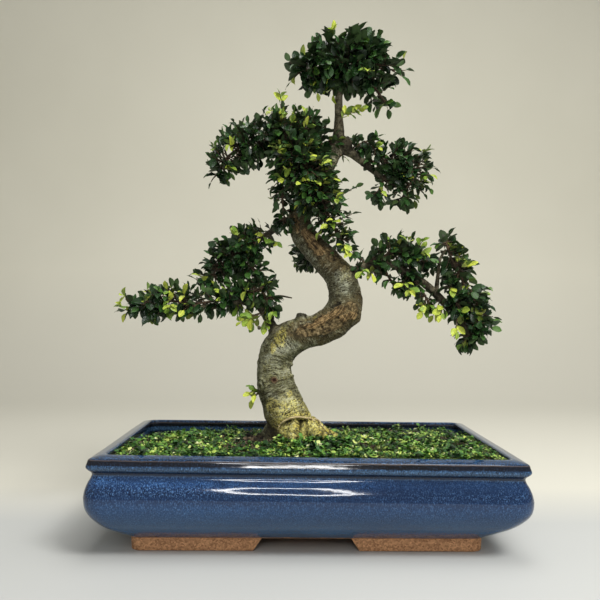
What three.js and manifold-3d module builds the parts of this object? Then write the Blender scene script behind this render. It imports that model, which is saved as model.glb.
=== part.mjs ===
// A Chinese elm bonsai planted in its low glazed pot.
// Millimetres, +Z up, the origin on the ground under the middle of the pot, the front towards -Y.
import * as THREE from "three";
import { MeshSurfaceSampler } from "three/addons/math/MeshSurfaceSampler.js";
import { OBB } from "three/addons/math/OBB.js";
import { mergeVertices } from "three/addons/utils/BufferGeometryUtils.js";
import Module from "manifold-3d";

const wasm = await Module();
wasm.setup();

// Pot
const POT_LENGTH = 385;
const POT_DEPTH = 240;
const POT_HEIGHT = 88;
const FOOT_HEIGHT = 12;
const FOOT_INSET = 32;
const FOOT_WIDTH = 15;
const NOTCH_HALF_TOP = 40;
const NOTCH_HALF_FLOOR = 48;
const RIM_WIDTH = 14.5;
const WALL = 11;
const FLOOR_TOP = 21;
const DRAIN_RADIUS = 14;
const DRAIN_OFFSET = 85;
const CORNER_STEPS = 4;

// Screens over the drain holes
const SCREEN_SIDE = 46;
const SCREEN_THICKNESS = 1.2;
const SCREEN_CELLS = 3;
const SCREEN_PITCH = 13;
const SCREEN_OPENING = 10;

// Ground
const GAP = 0.3;
const GROUND_FRONT = 87;
const GROUND_FALL = 7;
const MOSS_THICKNESS = 3.4;
const MOUND_HEIGHT = 3;
const BARE_CENTRE = [-44, 2];
const BARE_HALF = [27, 46];
const SOIL_CELL = 40;
const MOSS_CELL = 23;
const MOSS_LUMP = 1.7;

// Leaves, set alternately on twigs
const LEAF_LENGTH = 12.5;
const LEAF_WIDTH = 8;
const LEAF_THICKNESS = 0.8;
const LEAF_ANGLE = 56;
const LEAF_PITCH = 4.2;
const FIRST_LEAF = 4.5;
const TWIG_HALF_WIDTH = 0.75;
const SPRIG_LEAVES = 4;
const SPRIG_LENGTH = FIRST_LEAF + (SPRIG_LEAVES - 1) * LEAF_PITCH + LEAF_LENGTH;
const SPRIG_SAG = 1.2;
const SPRIG_HALF_DEPTH = 3;
const BOUGH_SIDES = 8;
const BOUGH_UNEVEN = 0.09;
const BOUGH_DEPTH = 1.2;
const ROOT_DEPTH = 3;
const SUNK_LEAST = 2;
const SUNK_MOST = 9;
const TIP_TOLERANCE = 1.5;
const CLEARANCE = 0.6;
const CLEAR_OF_WOOD = 0.35;
const CLEAR_OF_CORES = 1;
const BUD_RADIUS = 6.5;
const SPREAD = 199;

// Wood, each route a list of [x, y, z, radius]
const TRUNK_SIDES = 12;
const TRUNK_STEPS = 27;
const TRUNK_UNEVEN = 0.025;
const LIMB_SIDES = 6;
const ROOT_UNEVEN = 0.04;
const TRUNK_ROUTE = [
  [-11, 2, 66, 29],
  [-14, 1, 88, 26],
  [-17, 0, 105, 23.2],
  [-22.3, 0, 115.5, 21.8],
  [-25.6, 1, 126, 20.4],
  [-30.5, 3, 137, 20.1],
  [-33, 4, 150, 18.4],
  [-33.2, 4, 163, 17.6],
  [-29.5, 3, 176, 18.6],
  [-18, 1, 189, 18.8],
  [-2, -1, 195.5, 16.8],
  [14, -3, 200, 17],
  [30, -5, 209, 18],
  [40, -6, 224, 18],
  [39, -5, 241, 16.6],
  [33, -4, 257, 15.8],
  [21, -2, 271, 14.6],
  [8, 1, 285, 13.6],
  [-3, 4, 299, 13],
  [-8, 5, 316, 12.2],
  [-4, 4, 335, 11],
  [8, 0, 356, 10],
  [24, -5, 377, 9],
  [29, -6, 388, 7.6],
];
const BRANCH_ROUTES = {
  leader: [
    [18, -3, 368, 8],
    [32, -7, 398, 6.6],
    [33, -8, 420, 4.6],
    [33, -9, 442, 4],
    [36, -12, 465, 3],
    [40, -14, 484, 2],
  ],
  leftLow: [
    [-28, 2, 188, 9],
    [-36, 0, 203, 5.4],
    [-44, -2, 217, 4.6],
    [-53, -5, 226, 4],
    [-69, -8, 228, 3.4],
    [-90, -11, 223, 3],
    [-112, -12, 222, 2.6],
    [-130, -12, 224, 2.1],
  ],
  leftMiddle: [
    [-6, 5, 309, 6],
    [-18, 6, 315, 4],
    [-41, 7, 300, 3.3],
    [-56, 8, 290, 2.6],
  ],
  rightLow: [
    [36, -5, 248, 9],
    [51, -6, 260, 5.4],
    [64, -8, 266, 4.6],
    [83, -10, 268, 4],
    [98, -11, 262, 3.9],
    [112, -11, 254, 4],
    [126, -12, 243, 4.3],
    [138, -13, 231, 4.2],
    [151, -14, 216, 3.7],
    [162, -14, 203, 3.1],
    [171, -14, 191, 2.2],
  ],
  rightLowTwig: [
    [133, -13, 238, 2.6],
    [135, -13, 256, 1.9],
    [137, -14, 272, 1.5],
    [143, -14, 282, 1.2],
  ],
  rightUpper: [
    [24, -5, 380, 7.5],
    [37, -5, 388, 6.4],
    [47, -4, 384, 5],
    [58, -2, 376, 4.2],
    [71, 0, 366, 3.6],
    [84, 2, 357, 2.8],
    [96, 3, 350, 2],
  ],
  crownLeft: [
    [8, -1, 358, 8],
    [-2, -4, 378, 6],
    [-16, -5, 391, 5],
    [-34, -6, 395, 4],
    [-50, -6, 394, 3],
  ],
  rear: [
    [22, -2, 268, 9],
    [18, 16, 273, 5.8],
    [11, 34, 277, 4.4],
    [3, 52, 280, 3.2],
    [-1, 62, 282, 2.6],
  ],
  deadTwig: [
    [-50, -4, 224, 2],
    [-42, -5, 231, 1.3],
    [-28, -5, 234, 1.1],
    [-15, -5, 232, 0.9],
  ],
  stub: [
    [-12, -3, 202, 4.4],
    [-8, -5, 211, 3.4],
    [-5, -6, 216, 2.4],
  ],
};
const ROOT_ROUTES = [
  [
    [-13, -14, 108, 5],
    [-12, -22, 101, 6],
    [-13, -26, 92, 5.8],
    [-14, -29, 80, 4],
  ],
  [
    [2, -13, 101.5, 8],
    [9, -16, 96.5, 8.2],
    [20, -17, 92.5, 7.4],
    [31, -16, 87, 6.4],
    [42, -14, 79, 4],
  ],
  [
    [3, 8, 101, 10],
    [17, 15, 90, 7.5],
    [36, 25, 74, 4.5],
  ],
  [
    [-29, -2, 103, 10],
    [-35, -6, 91, 7.5],
    [-43, -9, 74, 4.5],
  ],
  [
    [-26, 14, 104, 10],
    [-37, 24, 92, 7.5],
    [-52, 38, 74, 4],
  ],
  [
    [-8, 18, 104, 9],
    [-5, 31, 92, 7],
    [1, 48, 74, 4],
  ],
];
// The graft ridge is a lip of callus over the front of the root collar.
const GRAFT_RIDGE = [
  [-29, -15, 100, 1.8],
  [-23, -20, 107, 2.2],
  [-12, -23.5, 111.5, 2.4],
  [-2, -21.5, 110.5, 2.3],
  [6, -14, 105, 1.9],
];
// Knots and swellings, each [x, y, z, radius]
const KNOTS = [
  [40, -8, 393, 7.5],
  [46, -11, 214, 11],
];

// Leafy heads. Each has boughs, the routes [x, y, z, radius] of its dense inner mass, the number
// of sprigs spread over them, and furthest points that a sprig's tip reaches.
const HEADS = {
  apex_head: {
    sprigs: 10,
    boughs: [
      [
        [-6, -10, 469, 9],
        [14, -10, 473, 21],
        [42, -13, 479, 28],
        [70, -10, 473, 24],
        [92, -8, 471, 10],
      ],
      [
        [66, -8, 458, 15],
        [76, -6, 446, 12],
        [82, -5, 437, 5],
      ],
    ],
    tips: [
      [-19, -12, 484],
      [46, -16, 519],
      [103, -8, 493],
      [76, -6, 430],
    ],
  },
  crown: {
    sprigs: 19,
    boughs: [
      [
        [-88, -5, 360, 7],
        [-84, -5, 376, 15],
        [-65, -6, 394, 21],
        [-34, -6, 405, 23],
        [-2, -6, 403, 23],
        [20, -8, 390, 12],
      ],
      [
        [-24, -18, 394, 12],
        [-8, -23, 371, 25],
        [6, -23, 346, 23],
        [20, -20, 322, 16],
        [30, -17, 300, 12.5],
        [43, -13, 281, 5],
      ],
      [
        [-20, -14, 372, 12],
        [-27, -12, 350, 12],
        [-30, -9, 322, 6],
      ],
      [
        [-26, 20, 406, 12],
        [-8, 27, 390, 25],
        [8, 25, 364, 20],
        [16, 21, 344, 8],
      ],
    ],
    tips: [
      [-103, -6, 380],
      [-80, -5, 349],
      [-29, -6, 444],
      [54, -12, 322],
      [-43, -10, 336],
      [50, -12, 290],
    ],
  },
  right_upper_pad: {
    sprigs: 6,
    boughs: [
      [
        [72, 0, 377, 6],
        [87, 1, 378, 14],
        [106, 3, 374, 17],
        [114, 4, 361, 17],
        [107, 3, 344, 15],
        [101, 2, 332, 6],
      ],
    ],
    tips: [
      [138, 5, 362],
      [107, 2, 322],
      [69, 0, 349],
    ],
  },
  left_middle_pad: {
    sprigs: 6,
    boughs: [
      [
        [-42, 8, 301, 7],
        [-58, 8, 291, 16],
        [-80, 10, 277, 17],
        [-96, 10, 262, 14],
        [-103, 9, 249, 6],
      ],
      [
        [-76, 8, 278, 10],
        [-62, 7, 267, 13],
        [-49, 6, 259, 6],
      ],
    ],
    tips: [
      [-27, 6, 290],
      [-126, 9, 254],
      [-72, 8, 314],
    ],
  },
  left_lower_pad: {
    sprigs: 6,
    boughs: [
      [
        [-44, -6, 243, 6],
        [-62, -8, 237, 13],
        [-92, -11, 229, 12],
        [-114, -12, 226, 9],
        [-138, -12, 228, 14],
        [-160, -12, 226, 15],
        [-178, -12, 222, 6],
      ],
    ],
    tips: [
      [-195, -12, 229],
      [-186, -12, 243],
      [-155, -12, 197],
      [-128, -12, 206],
      [-38, -10, 250],
    ],
  },
  right_inner_pad: {
    sprigs: 3,
    boughs: [
      [
        [56, -8, 267, 6],
        [72, -9, 273, 10],
        [94, -10, 279, 14],
        [112, -10, 276, 13],
        [124, -11, 268, 6],
      ],
      [
        [110, -10, 272, 10],
        [105, -12, 256, 9],
        [100, -12, 243, 5],
      ],
    ],
    tips: [
      [82, -10, 299],
      [122, -10, 289],
      [122, -12, 228],
    ],
  },
  right_outer_pad: {
    sprigs: 6,
    boughs: [
      [
        [145, -14, 289, 6],
        [149, -14, 274, 13],
        [158, -14, 254, 14],
        [167, -13, 230, 16],
        [171, -13, 206, 15],
        [164, -13, 189, 7],
      ],
    ],
    tips: [
      [200, -14, 209],
      [141, -14, 298],
      [194, -13, 240],
      [170, -14, 178],
    ],
  },
  rear_pad: {
    sprigs: 4,
    boughs: [
      [
        [10, 55, 287, 7],
        [4, 66, 288, 13],
        [-4, 82, 287, 14],
        [-10, 97, 284, 6],
      ],
    ],
    tips: [
      [-22, 112, 272],
      [20, 88, 303],
    ],
  },
};
// Small leafy shoots that stand on a limb, each with its place and the ways its sprigs point.
const SHOOTS = {
  left_shoot: {
    at: [-44, -2, 217],
    ways: [
      [-0.9, -0.4, -0.3],
      [0.2, -0.8, -0.6],
    ],
  },
  right_shoot: {
    at: [138, -13, 231],
    ways: [
      [-0.85, -0.2, -0.5],
      [-0.2, -0.8, -0.6],
    ],
  },
  trunk_sprout: {
    at: [-47, 0, 135],
    ways: [[-0.75, -0.3, 0.55]],
  },
  leader_shoot: {
    at: [33, -8, 421],
    ways: [[0.9, -0.2, 0.35]],
  },
};

const UP = new THREE.Vector3(0, 0, 1);

// A seeded generator keeps each draw the same on every run.
function seeded(seed) {
  let state = seed;
  return () => {
    state = (state + 0x6d2b79f5) | 0;
    let mixed = Math.imul(state ^ (state >>> 15), 1 | state);
    mixed = (mixed + Math.imul(mixed ^ (mixed >>> 7), 61 | mixed)) ^ mixed;
    return ((mixed ^ (mixed >>> 14)) >>> 0) / 4294967296;
  };
}

// Turns a closed geometry into a solid for joining and cutting.
function solid(geometry) {
  const bare = geometry.clone();
  bare.deleteAttribute("normal");
  bare.deleteAttribute("uv");
  const merged = mergeVertices(bare, 1e-4);
  const mesh = new wasm.Mesh({
    numProp: 3,
    vertProperties: new Float32Array(merged.attributes.position.array),
    triVerts: new Uint32Array(merged.index.array),
  });
  return new wasm.Manifold(mesh);
}

function union(solids) {
  return solids.reduce((whole, next) => whole.add(next));
}

// Keeps the largest body and drops the scraps that a cut leaves.
function largestBody(shape) {
  const bodies = shape.decompose();
  return bodies.reduce((best, body) => (body.volume() > best.volume() ? body : best));
}

function namedMesh(name, shape, color, roughness, metalness = 0) {
  const { vertProperties, triVerts } = shape.getMesh();
  const geometry = new THREE.BufferGeometry();
  geometry.setAttribute("position", new THREE.BufferAttribute(new Float32Array(vertProperties), 3));
  geometry.setIndex(new THREE.BufferAttribute(new Uint32Array(triVerts), 1));
  geometry.computeVertexNormals();
  const material = new THREE.MeshStandardMaterial({ color, roughness, metalness });
  const mesh = new THREE.Mesh(geometry, material);
  mesh.name = name;
  return mesh;
}

// A barrel is a closed cylinder whose points are set in place by their turn, step and reach.
function barrel(sides, steps, place) {
  const geometry = new THREE.CylinderGeometry(1, 1, 1, sides, steps);
  const position = geometry.attributes.position;
  for (let i = 0; i < position.count; i += 1) {
    const x = position.getX(i);
    const z = position.getZ(i);
    const turn = (Math.round((Math.atan2(x, z) / (2 * Math.PI)) * sides) + sides) % sides;
    const step = Math.round((position.getY(i) + 0.5) * steps);
    const reach = Math.hypot(x, z) > 0.5 ? 1 : 0;
    const point = place(turn, step, reach);
    position.setXYZ(i, point.x, point.y, point.z);
  }
  return solid(geometry);
}

// A stack of round-cornered rectangles, each level [z, inset from the pot's plan, corner radius].
function tray(levels, cornerSteps = CORNER_STEPS) {
  const perCorner = cornerSteps + 1;
  return barrel(4 * perCorner, levels.length - 1, (turn, step, reach) => {
    const [z, inset, radius] = levels[step];
    const corner = Math.floor(turn / perCorner);
    const angle = (corner + (turn % perCorner) / cornerSteps) * (Math.PI / 2);
    const signX = corner === 0 || corner === 3 ? 1 : -1;
    const signY = corner < 2 ? 1 : -1;
    const x = signX * (POT_LENGTH / 2 - inset - radius) + radius * Math.cos(angle);
    const y = signY * (POT_DEPTH / 2 - inset - radius) + radius * Math.sin(angle);
    return new THREE.Vector3(x * reach, y * reach, z);
  });
}

function block(width, depth, height, x, y, z) {
  const geometry = new THREE.BoxGeometry(width, depth, height);
  geometry.translate(x, y, z);
  return solid(geometry);
}

// A bar of trapezoid section that cuts the notch through two opposite feet.
function footNotch(turn, length) {
  const shape = new THREE.Shape();
  const below = 2;
  const slope = (NOTCH_HALF_FLOOR - NOTCH_HALF_TOP) / FOOT_HEIGHT;
  shape.moveTo(-NOTCH_HALF_FLOOR - slope * below, -below);
  shape.lineTo(NOTCH_HALF_FLOOR + slope * below, -below);
  shape.lineTo(NOTCH_HALF_TOP, FOOT_HEIGHT);
  shape.lineTo(-NOTCH_HALF_TOP, FOOT_HEIGHT);
  shape.closePath();
  const geometry = new THREE.ExtrudeGeometry(shape, { depth: length, bevelEnabled: false });
  geometry.translate(0, 0, -length / 2);
  geometry.rotateX(Math.PI / 2);
  geometry.rotateZ(turn);
  return solid(geometry);
}

function makePot() {
  const outer = tray([
    [0, FOOT_INSET + 0.6, 10],
    [FOOT_HEIGHT, FOOT_INSET, 10],
    [13.5, 25.5, 12],
    [20, 14.8, 14],
    [28, 5.2, 16],
    [37, -1.2, 17],
    [48, -3.8, 17],
    [59, -2.7, 15],
    [70, 1.4, 12],
    [74, 3.2, 10],
    [76.5, 2.2, 8],
    [79, 0.4, 6],
    [85, 0, 6],
    [87.2, 1, 6],
    [POT_HEIGHT, 3, 6],
  ]);
  const inner = tray(cavityLevels(0, POT_HEIGHT + 5));
  const recess = tray([
    [-2, FOOT_INSET + FOOT_WIDTH, 6],
    [FOOT_HEIGHT, FOOT_INSET + FOOT_WIDTH + 1, 6],
  ]);
  const drains = [-DRAIN_OFFSET, DRAIN_OFFSET].map((x) => {
    const geometry = new THREE.CylinderGeometry(DRAIN_RADIUS, DRAIN_RADIUS, 30, 20);
    geometry.rotateX(Math.PI / 2);
    geometry.translate(x, 0, FLOOR_TOP - 5);
    return solid(geometry);
  });
  return [
    inner,
    recess,
    footNotch(0, POT_DEPTH + 20),
    footNotch(Math.PI / 2, POT_LENGTH + 20),
    ...drains,
  ].reduce((body, tool) => body.subtract(tool), outer);
}

// The inner face of the pot, drawn in by a gap for what fills it, up to a given height.
function cavityLevels(gap, top) {
  return [
    [FLOOR_TOP + gap, 30 + gap, 12],
    [24 + gap, 22 + gap, 13],
    [31, 14 + gap, 14],
    [42, WALL - 1 + gap, 13],
    [60, WALL - 1 + gap, 11],
    [74, RIM_WIDTH + gap, 8],
    [top, RIM_WIDTH + gap, 6],
  ];
}

// A square of plastic mesh, a plate with rows of square openings.
function makeDrainScreen(x) {
  const z = FLOOR_TOP + GAP + SCREEN_THICKNESS / 2;
  const first = (-(SCREEN_CELLS - 1) / 2) * SCREEN_PITCH;
  let plate = block(SCREEN_SIDE, SCREEN_SIDE, SCREEN_THICKNESS, x, 0, z);
  for (let i = 0; i < SCREEN_CELLS; i += 1) {
    for (let j = 0; j < SCREEN_CELLS; j += 1) {
      const holeX = x + first + i * SCREEN_PITCH;
      const holeY = first + j * SCREEN_PITCH;
      plate = plate.subtract(block(SCREEN_OPENING, SCREEN_OPENING, 4, holeX, holeY, z));
    }
  }
  return plate;
}

// The soil falls away to the back, lowest at the back left, and rises round the trunk.
function soilHeight(x, y) {
  const back = THREE.MathUtils.smoothstep(y, -20, 105);
  const left = THREE.MathUtils.smoothstep(-x, 0, 120);
  const mound = MOUND_HEIGHT * Math.exp(-((x + 8) ** 2 + (y + 4) ** 2) / 45 ** 2);
  const waves = 0.7 * Math.sin(x / 17 + 1) * Math.cos(y / 13);
  return GROUND_FRONT - MOSS_THICKNESS - back * (GROUND_FALL + 4 * left) + mound + waves;
}

// Moss lies over the soil in lumps, and leaves it bare to the left of the trunk.
function mossHeight(x, y) {
  const off = Math.hypot((x - BARE_CENTRE[0]) / BARE_HALF[0], (y - BARE_CENTRE[1]) / BARE_HALF[1]);
  const cover = THREE.MathUtils.smoothstep(off, 0.75, 1.25);
  const lumps = Math.sin(x * 0.61 + y * 0.13) * Math.sin(y * 0.53 - x * 0.21) + Math.sin(x * 0.23 + y * 0.37);
  const thickness = MOSS_THICKNESS + MOSS_LUMP * lumps;
  return soilHeight(x, y) + cover * Math.max(thickness, 1.2) - (1 - cover) * 3;
}

// A block whose top follows a height given for each place.
function ground(cell, height) {
  const base = 40;
  const cellsX = Math.round(POT_LENGTH / cell);
  const cellsY = Math.round(POT_DEPTH / cell);
  const geometry = new THREE.BoxGeometry(POT_LENGTH, POT_DEPTH, 2, cellsX, cellsY, 1);
  const position = geometry.attributes.position;
  for (let i = 0; i < position.count; i += 1) {
    const top = position.getZ(i) > 0;
    position.setZ(i, top ? height(position.getX(i), position.getY(i)) : -base);
  }
  return solid(geometry);
}

// A limb tapers along its route. Its radius can be grown to cut a hole that clears it.
function limb(route, sides, steps, grow = 0, uneven = 0, depth = 1) {
  const curve = new THREE.CatmullRomCurve3(
    route.map(([x, y, z]) => new THREE.Vector3(x, y, z)),
    false,
    "centripetal",
  );
  const frames = curve.computeFrenetFrames(steps, false);
  return barrel(sides, steps, (turn, step, reach) => {
    const u = step / steps;
    const along = curve.getUtoTmapping(u) * (route.length - 1);
    const index = Math.min(Math.floor(along), route.length - 2);
    const share = along - index;
    const bare = THREE.MathUtils.lerp(route[index][3], route[index + 1][3], share);
    const angle = (turn / sides) * 2 * Math.PI;
    const relief = uneven * (Math.sin(3 * angle + along * 1.3) + Math.sin(2 * angle - along * 2.1));
    const radius = (bare * (1 + relief) + grow) * reach;
    const offset = frames.normals[step].clone().multiplyScalar(Math.cos(angle) * radius);
    offset.addScaledVector(frames.binormals[step], Math.sin(angle) * radius);
    offset.y *= depth;
    return curve.getPointAt(u).add(offset);
  });
}

// A rough ball, used for swellings in the wood and for buds.
function knob([x, y, z, radius], grow, detail) {
  const geometry = new THREE.IcosahedronGeometry(radius + grow, detail);
  geometry.translate(x, y, z);
  return solid(geometry);
}

function makeWood(grow) {
  const parts = [limb(TRUNK_ROUTE, TRUNK_SIDES, TRUNK_STEPS, grow, TRUNK_UNEVEN)];
  Object.values(BRANCH_ROUTES).forEach((route) => {
    parts.push(limb(route, LIMB_SIDES, route.length - 1, grow));
  });
  ROOT_ROUTES.forEach((route) => {
    parts.push(limb(route, LIMB_SIDES, route.length, grow, ROOT_UNEVEN));
  });
  parts.push(limb(GRAFT_RIDGE, 5, 6, grow));
  KNOTS.forEach((knot) => {
    parts.push(knob(knot, grow, 1));
  });
  return union(parts);
}

// The corners of one leaf, from its stalk round its tip and back, on the twig at a given place.
function leafCorners(x, side, length, width) {
  const angle = THREE.MathUtils.degToRad(side * LEAF_ANGLE);
  const base = new THREE.Vector2(x, side * TWIG_HALF_WIDTH);
  const away = new THREE.Vector2(Math.cos(angle), Math.sin(angle));
  const across = new THREE.Vector2(-away.y, away.x);
  const rim = [
    [0.58, -0.5],
    [1, 0],
    [0.58, 0.5],
  ];
  const corners = rim.map(([out, over]) =>
    base.clone().addScaledVector(away, out * length).addScaledVector(across, over * width),
  );
  const stalk = side === 0 ? new THREE.Vector2(0, TWIG_HALF_WIDTH) : new THREE.Vector2(-side * 0.8, 0);
  return [base.clone().sub(stalk), ...corners, base.clone().add(stalk)];
}

// A sprig is one thin arched blade, cut to a twig with alternate leaves and one at its end.
function sprig(leaves, draw) {
  const size = () => 0.9 + 0.2 * draw();
  const lower = [];
  const upper = [];
  for (let i = 0; i < leaves - 1; i += 1) {
    const side = i % 2 === 0 ? -1 : 1;
    const x = FIRST_LEAF + i * LEAF_PITCH;
    const corners = leafCorners(x, side, LEAF_LENGTH * size(), LEAF_WIDTH * size());
    if (side < 0) lower.push(...corners);
    else upper.unshift(...corners);
  }
  const end = leafCorners(FIRST_LEAF + (leaves - 1) * LEAF_PITCH, 0, LEAF_LENGTH, LEAF_WIDTH);
  const root = [new THREE.Vector2(0, -TWIG_HALF_WIDTH)];
  const back = [new THREE.Vector2(0, TWIG_HALF_WIDTH)];
  const shape = new THREE.Shape([...root, ...lower, ...end, ...upper, ...back]);
  const geometry = new THREE.ExtrudeGeometry(shape, { depth: LEAF_THICKNESS, bevelEnabled: false });
  const position = geometry.attributes.position;
  const droop = 0.002 + 0.004 * draw();
  const cup = 0.008 + 0.01 * draw();
  for (let i = 0; i < position.count; i += 1) {
    const x = position.getX(i);
    const y = position.getY(i);
    position.setZ(i, position.getZ(i) - LEAF_THICKNESS / 2 - droop * x * x + cup * y * y);
  }
  return geometry;
}

// Sets a sprig with its twig along a direction and its upper face turned to the light.
function placement(root, direction, light) {
  const along = direction.clone().normalize();
  const across = light.clone().cross(along).normalize();
  const face = along.clone().cross(across).normalize();
  return new THREE.Matrix4().makeBasis(along, across, face).setPosition(root);
}

// The room that a placed sprig takes up, a flat box round its leaves.
function sprigRoom(matrix, spare) {
  const length = SPRIG_LENGTH - FIRST_LEAF / 2;
  const centre = new THREE.Vector3(FIRST_LEAF / 2 + length / 2, 0, -SPRIG_SAG);
  const half = new THREE.Vector3(length / 2, LEAF_LENGTH * 0.85, SPRIG_HALF_DEPTH).addScalar(spare);
  return new OBB(centre, half).applyMatrix4(matrix);
}

function randomDirection(draw) {
  const z = 2 * draw() - 1;
  const angle = 2 * Math.PI * draw();
  const ring = Math.sqrt(1 - z * z);
  return new THREE.Vector3(ring * Math.cos(angle), ring * Math.sin(angle), z);
}

// The dense inner mass of a head, its boughs fused.
function makeCore(boughs, grow) {
  return union(
    boughs.map((route) => {
      const steps = Math.round((route.length - 1) * 1.5);
      return limb(route, BOUGH_SIDES, steps, grow, BOUGH_UNEVEN, BOUGH_DEPTH);
    }),
  );
}

// Draws places a little under a core's surface, each with the way out from there.
function rootSampler(core, draw) {
  const sampler = new MeshSurfaceSampler(namedMesh("core", core, 0, 1));
  sampler.setRandomGenerator(draw).build();
  return () => {
    const root = new THREE.Vector3();
    const outward = new THREE.Vector3();
    sampler.sample(root, outward);
    outward.normalize();
    root.addScaledVector(outward, -ROOT_DEPTH);
    return { root, outward };
  };
}

// A sprig that leaves the core slantwise, and faces outward and up.
function looseSprig({ root, outward }, draw) {
  const slant = randomDirection(draw).projectOnPlane(outward).normalize();
  const direction = outward.clone().addScaledVector(slant, 1 + 1.2 * draw());
  const light = outward.clone().addScaledVector(UP, 0.6);
  return placement(root, direction, light);
}

// A sprig whose tip reaches a given point, if it is long enough from its root.
function reachingSprig({ root, outward }, tip) {
  const direction = tip.clone().sub(root);
  if (Math.abs(direction.length() - SPRIG_LENGTH) > TIP_TOLERANCE) return null;
  const light = outward.clone().addScaledVector(UP, 0.6);
  return placement(root, direction, light);
}

// A head is a core round its limb, with sprigs that stand out of it on every side.
function makeHead({ boughs, sprigs, tips }, draw, obstacle, foreignRooms) {
  const core = makeCore(boughs, 0);
  const drawRoot = rootSampler(core, draw);
  const blades = [];
  const rooms = [];

  // A sprig fits where only its twig's root is sunk in the core and it touches nothing else.
  function fits(blade, matrix) {
    const { min, max } = blade.boundingBox();
    if (Math.max(-min[0], max[0]) > SPREAD) return false;
    const wideRoom = sprigRoom(matrix, CLEARANCE);
    if (foreignRooms.some((other) => other.intersectsOBB(wideRoom))) return false;
    const sunk = blade.intersect(core).volume();
    if (sunk < SUNK_LEAST || sunk > SUNK_MOST) return false;
    return [obstacle, ...blades].every((other) => other.intersect(blade).isEmpty());
  }

  // Of many places drawn, the sprig goes to the one furthest from those already there.
  function plant(trials, drawMatrix) {
    let best = null;
    let bestDistance = 0;
    for (let trial = 0; trial < trials; trial += 1) {
      const matrix = drawMatrix();
      if (!matrix) continue;
      const centre = sprigRoom(matrix, 0).center;
      const distance = Math.min(1000, ...rooms.map((room) => room.center.distanceTo(centre)));
      if (distance <= bestDistance) continue;
      const blade = solid(sprig(SPRIG_LEAVES, seeded(trial)).applyMatrix4(matrix));
      if (!fits(blade, matrix)) continue;
      best = { blade, matrix };
      bestDistance = distance;
    }
    if (!best) return;
    blades.push(best.blade);
    rooms.push(sprigRoom(best.matrix, 0));
  }

  tips.forEach(([x, y, z]) => {
    const tip = new THREE.Vector3(x, y, z);
    plant(4000, () => reachingSprig(drawRoot(), tip));
  });
  for (let i = 0; i < sprigs; i += 1) {
    plant(500, () => looseSprig(drawRoot(), draw));
  }
  return { body: union([core, ...blades]), rooms };
}

// A shoot is a few sprigs fused in a small bud that clasps its limb.
function makeShoot({ at, ways }, draw) {
  const root = new THREE.Vector3(...at);
  const light = new THREE.Vector3(0, -0.5, 1);
  const matrices = ways.map(([x, y, z]) => {
    const way = new THREE.Vector3(x, y, z).normalize();
    const start = root.clone().addScaledVector(way, 0.7 * BUD_RADIUS);
    return placement(start, way, light);
  });
  const blades = matrices.map((matrix) => solid(sprig(SPRIG_LEAVES, draw).applyMatrix4(matrix)));
  const bud = knob([...at, BUD_RADIUS], 0, 0);
  return { body: union([bud, ...blades]), rooms: matrices.map((matrix) => sprigRoom(matrix, 0)) };
}

const wood = makeWood(0);
const woodRoom = makeWood(CLEAR_OF_WOOD);

const bonsai = new THREE.Group();
bonsai.name = "chinese_elm_bonsai";

bonsai.add(namedMesh("pot", makePot(), 0x1d3f78, 0.22));
const screenRooms = [];
[
  ["drain_screen_left", -DRAIN_OFFSET],
  ["drain_screen_right", DRAIN_OFFSET],
].forEach(([name, x]) => {
  bonsai.add(namedMesh(name, makeDrainScreen(x), 0x2b2b2b, 0.6));
  const room = SCREEN_SIDE + 2 * GAP;
  const top = FLOOR_TOP + SCREEN_THICKNESS + 2 * GAP;
  screenRooms.push(block(room, room, 20, x, 0, top - 10));
});

const fill = tray(cavityLevels(GAP, POT_HEIGHT + 8));
const soil = ground(SOIL_CELL, soilHeight)
  .intersect(fill)
  .subtract(woodRoom)
  .subtract(screenRooms[0])
  .subtract(screenRooms[1]);
bonsai.add(namedMesh("soil", largestBody(soil), 0x33241a, 0.95));

const underMoss = ground(SOIL_CELL, (x, y) => soilHeight(x, y) + GAP);
const moss = ground(MOSS_CELL, mossHeight).intersect(fill).subtract(underMoss).subtract(woodRoom);
bonsai.add(namedMesh("moss_mat", largestBody(moss), 0x4f8a2a, 0.9));

bonsai.add(namedMesh("trunk", wood, 0x7d7252, 0.85));

const draw = seeded(4);
const builtRooms = [];
const built = [];
Object.entries(SHOOTS).forEach(([name, shoot]) => {
  const { body, rooms } = makeShoot(shoot, draw);
  builtRooms.push(...rooms);
  built.push(body, knob([...shoot.at, BUD_RADIUS], CLEAR_OF_CORES, 0));
  bonsai.add(namedMesh(name, largestBody(body.subtract(woodRoom)), 0x6f9a2c, 0.45));
});
Object.entries(HEADS).forEach(([name, head]) => {
  const foreignCores = Object.entries(HEADS)
    .filter(([other]) => other !== name)
    .map(([, other]) => makeCore(other.boughs, CLEAR_OF_CORES));
  const obstacle = union([woodRoom, ...foreignCores, ...built]);
  const { body, rooms } = makeHead(head, draw, obstacle, builtRooms);
  builtRooms.push(...rooms);
  built.push(body);
  bonsai.add(namedMesh(name, largestBody(body.subtract(woodRoom)), 0x2f5a23, 0.45));
});

export default bonsai;
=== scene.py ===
# %% [markdown]
# # A Chinese elm bonsai in its low glazed pot
# The tree is an old trunk bent like an S, with pads of small glossy leaves, and it grows in a long
# blue pot filled with soil and moss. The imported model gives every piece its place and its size.
# This lesson dresses it: each leafy head, the wood, the moss and the pot get a finer mesh that
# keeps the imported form, and a material made of shader nodes.

import bpy
import bmesh
import math
import random
from mathutils import Matrix, Vector, kdtree, noise
from mathutils.bvhtree import BVHTree


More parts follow.
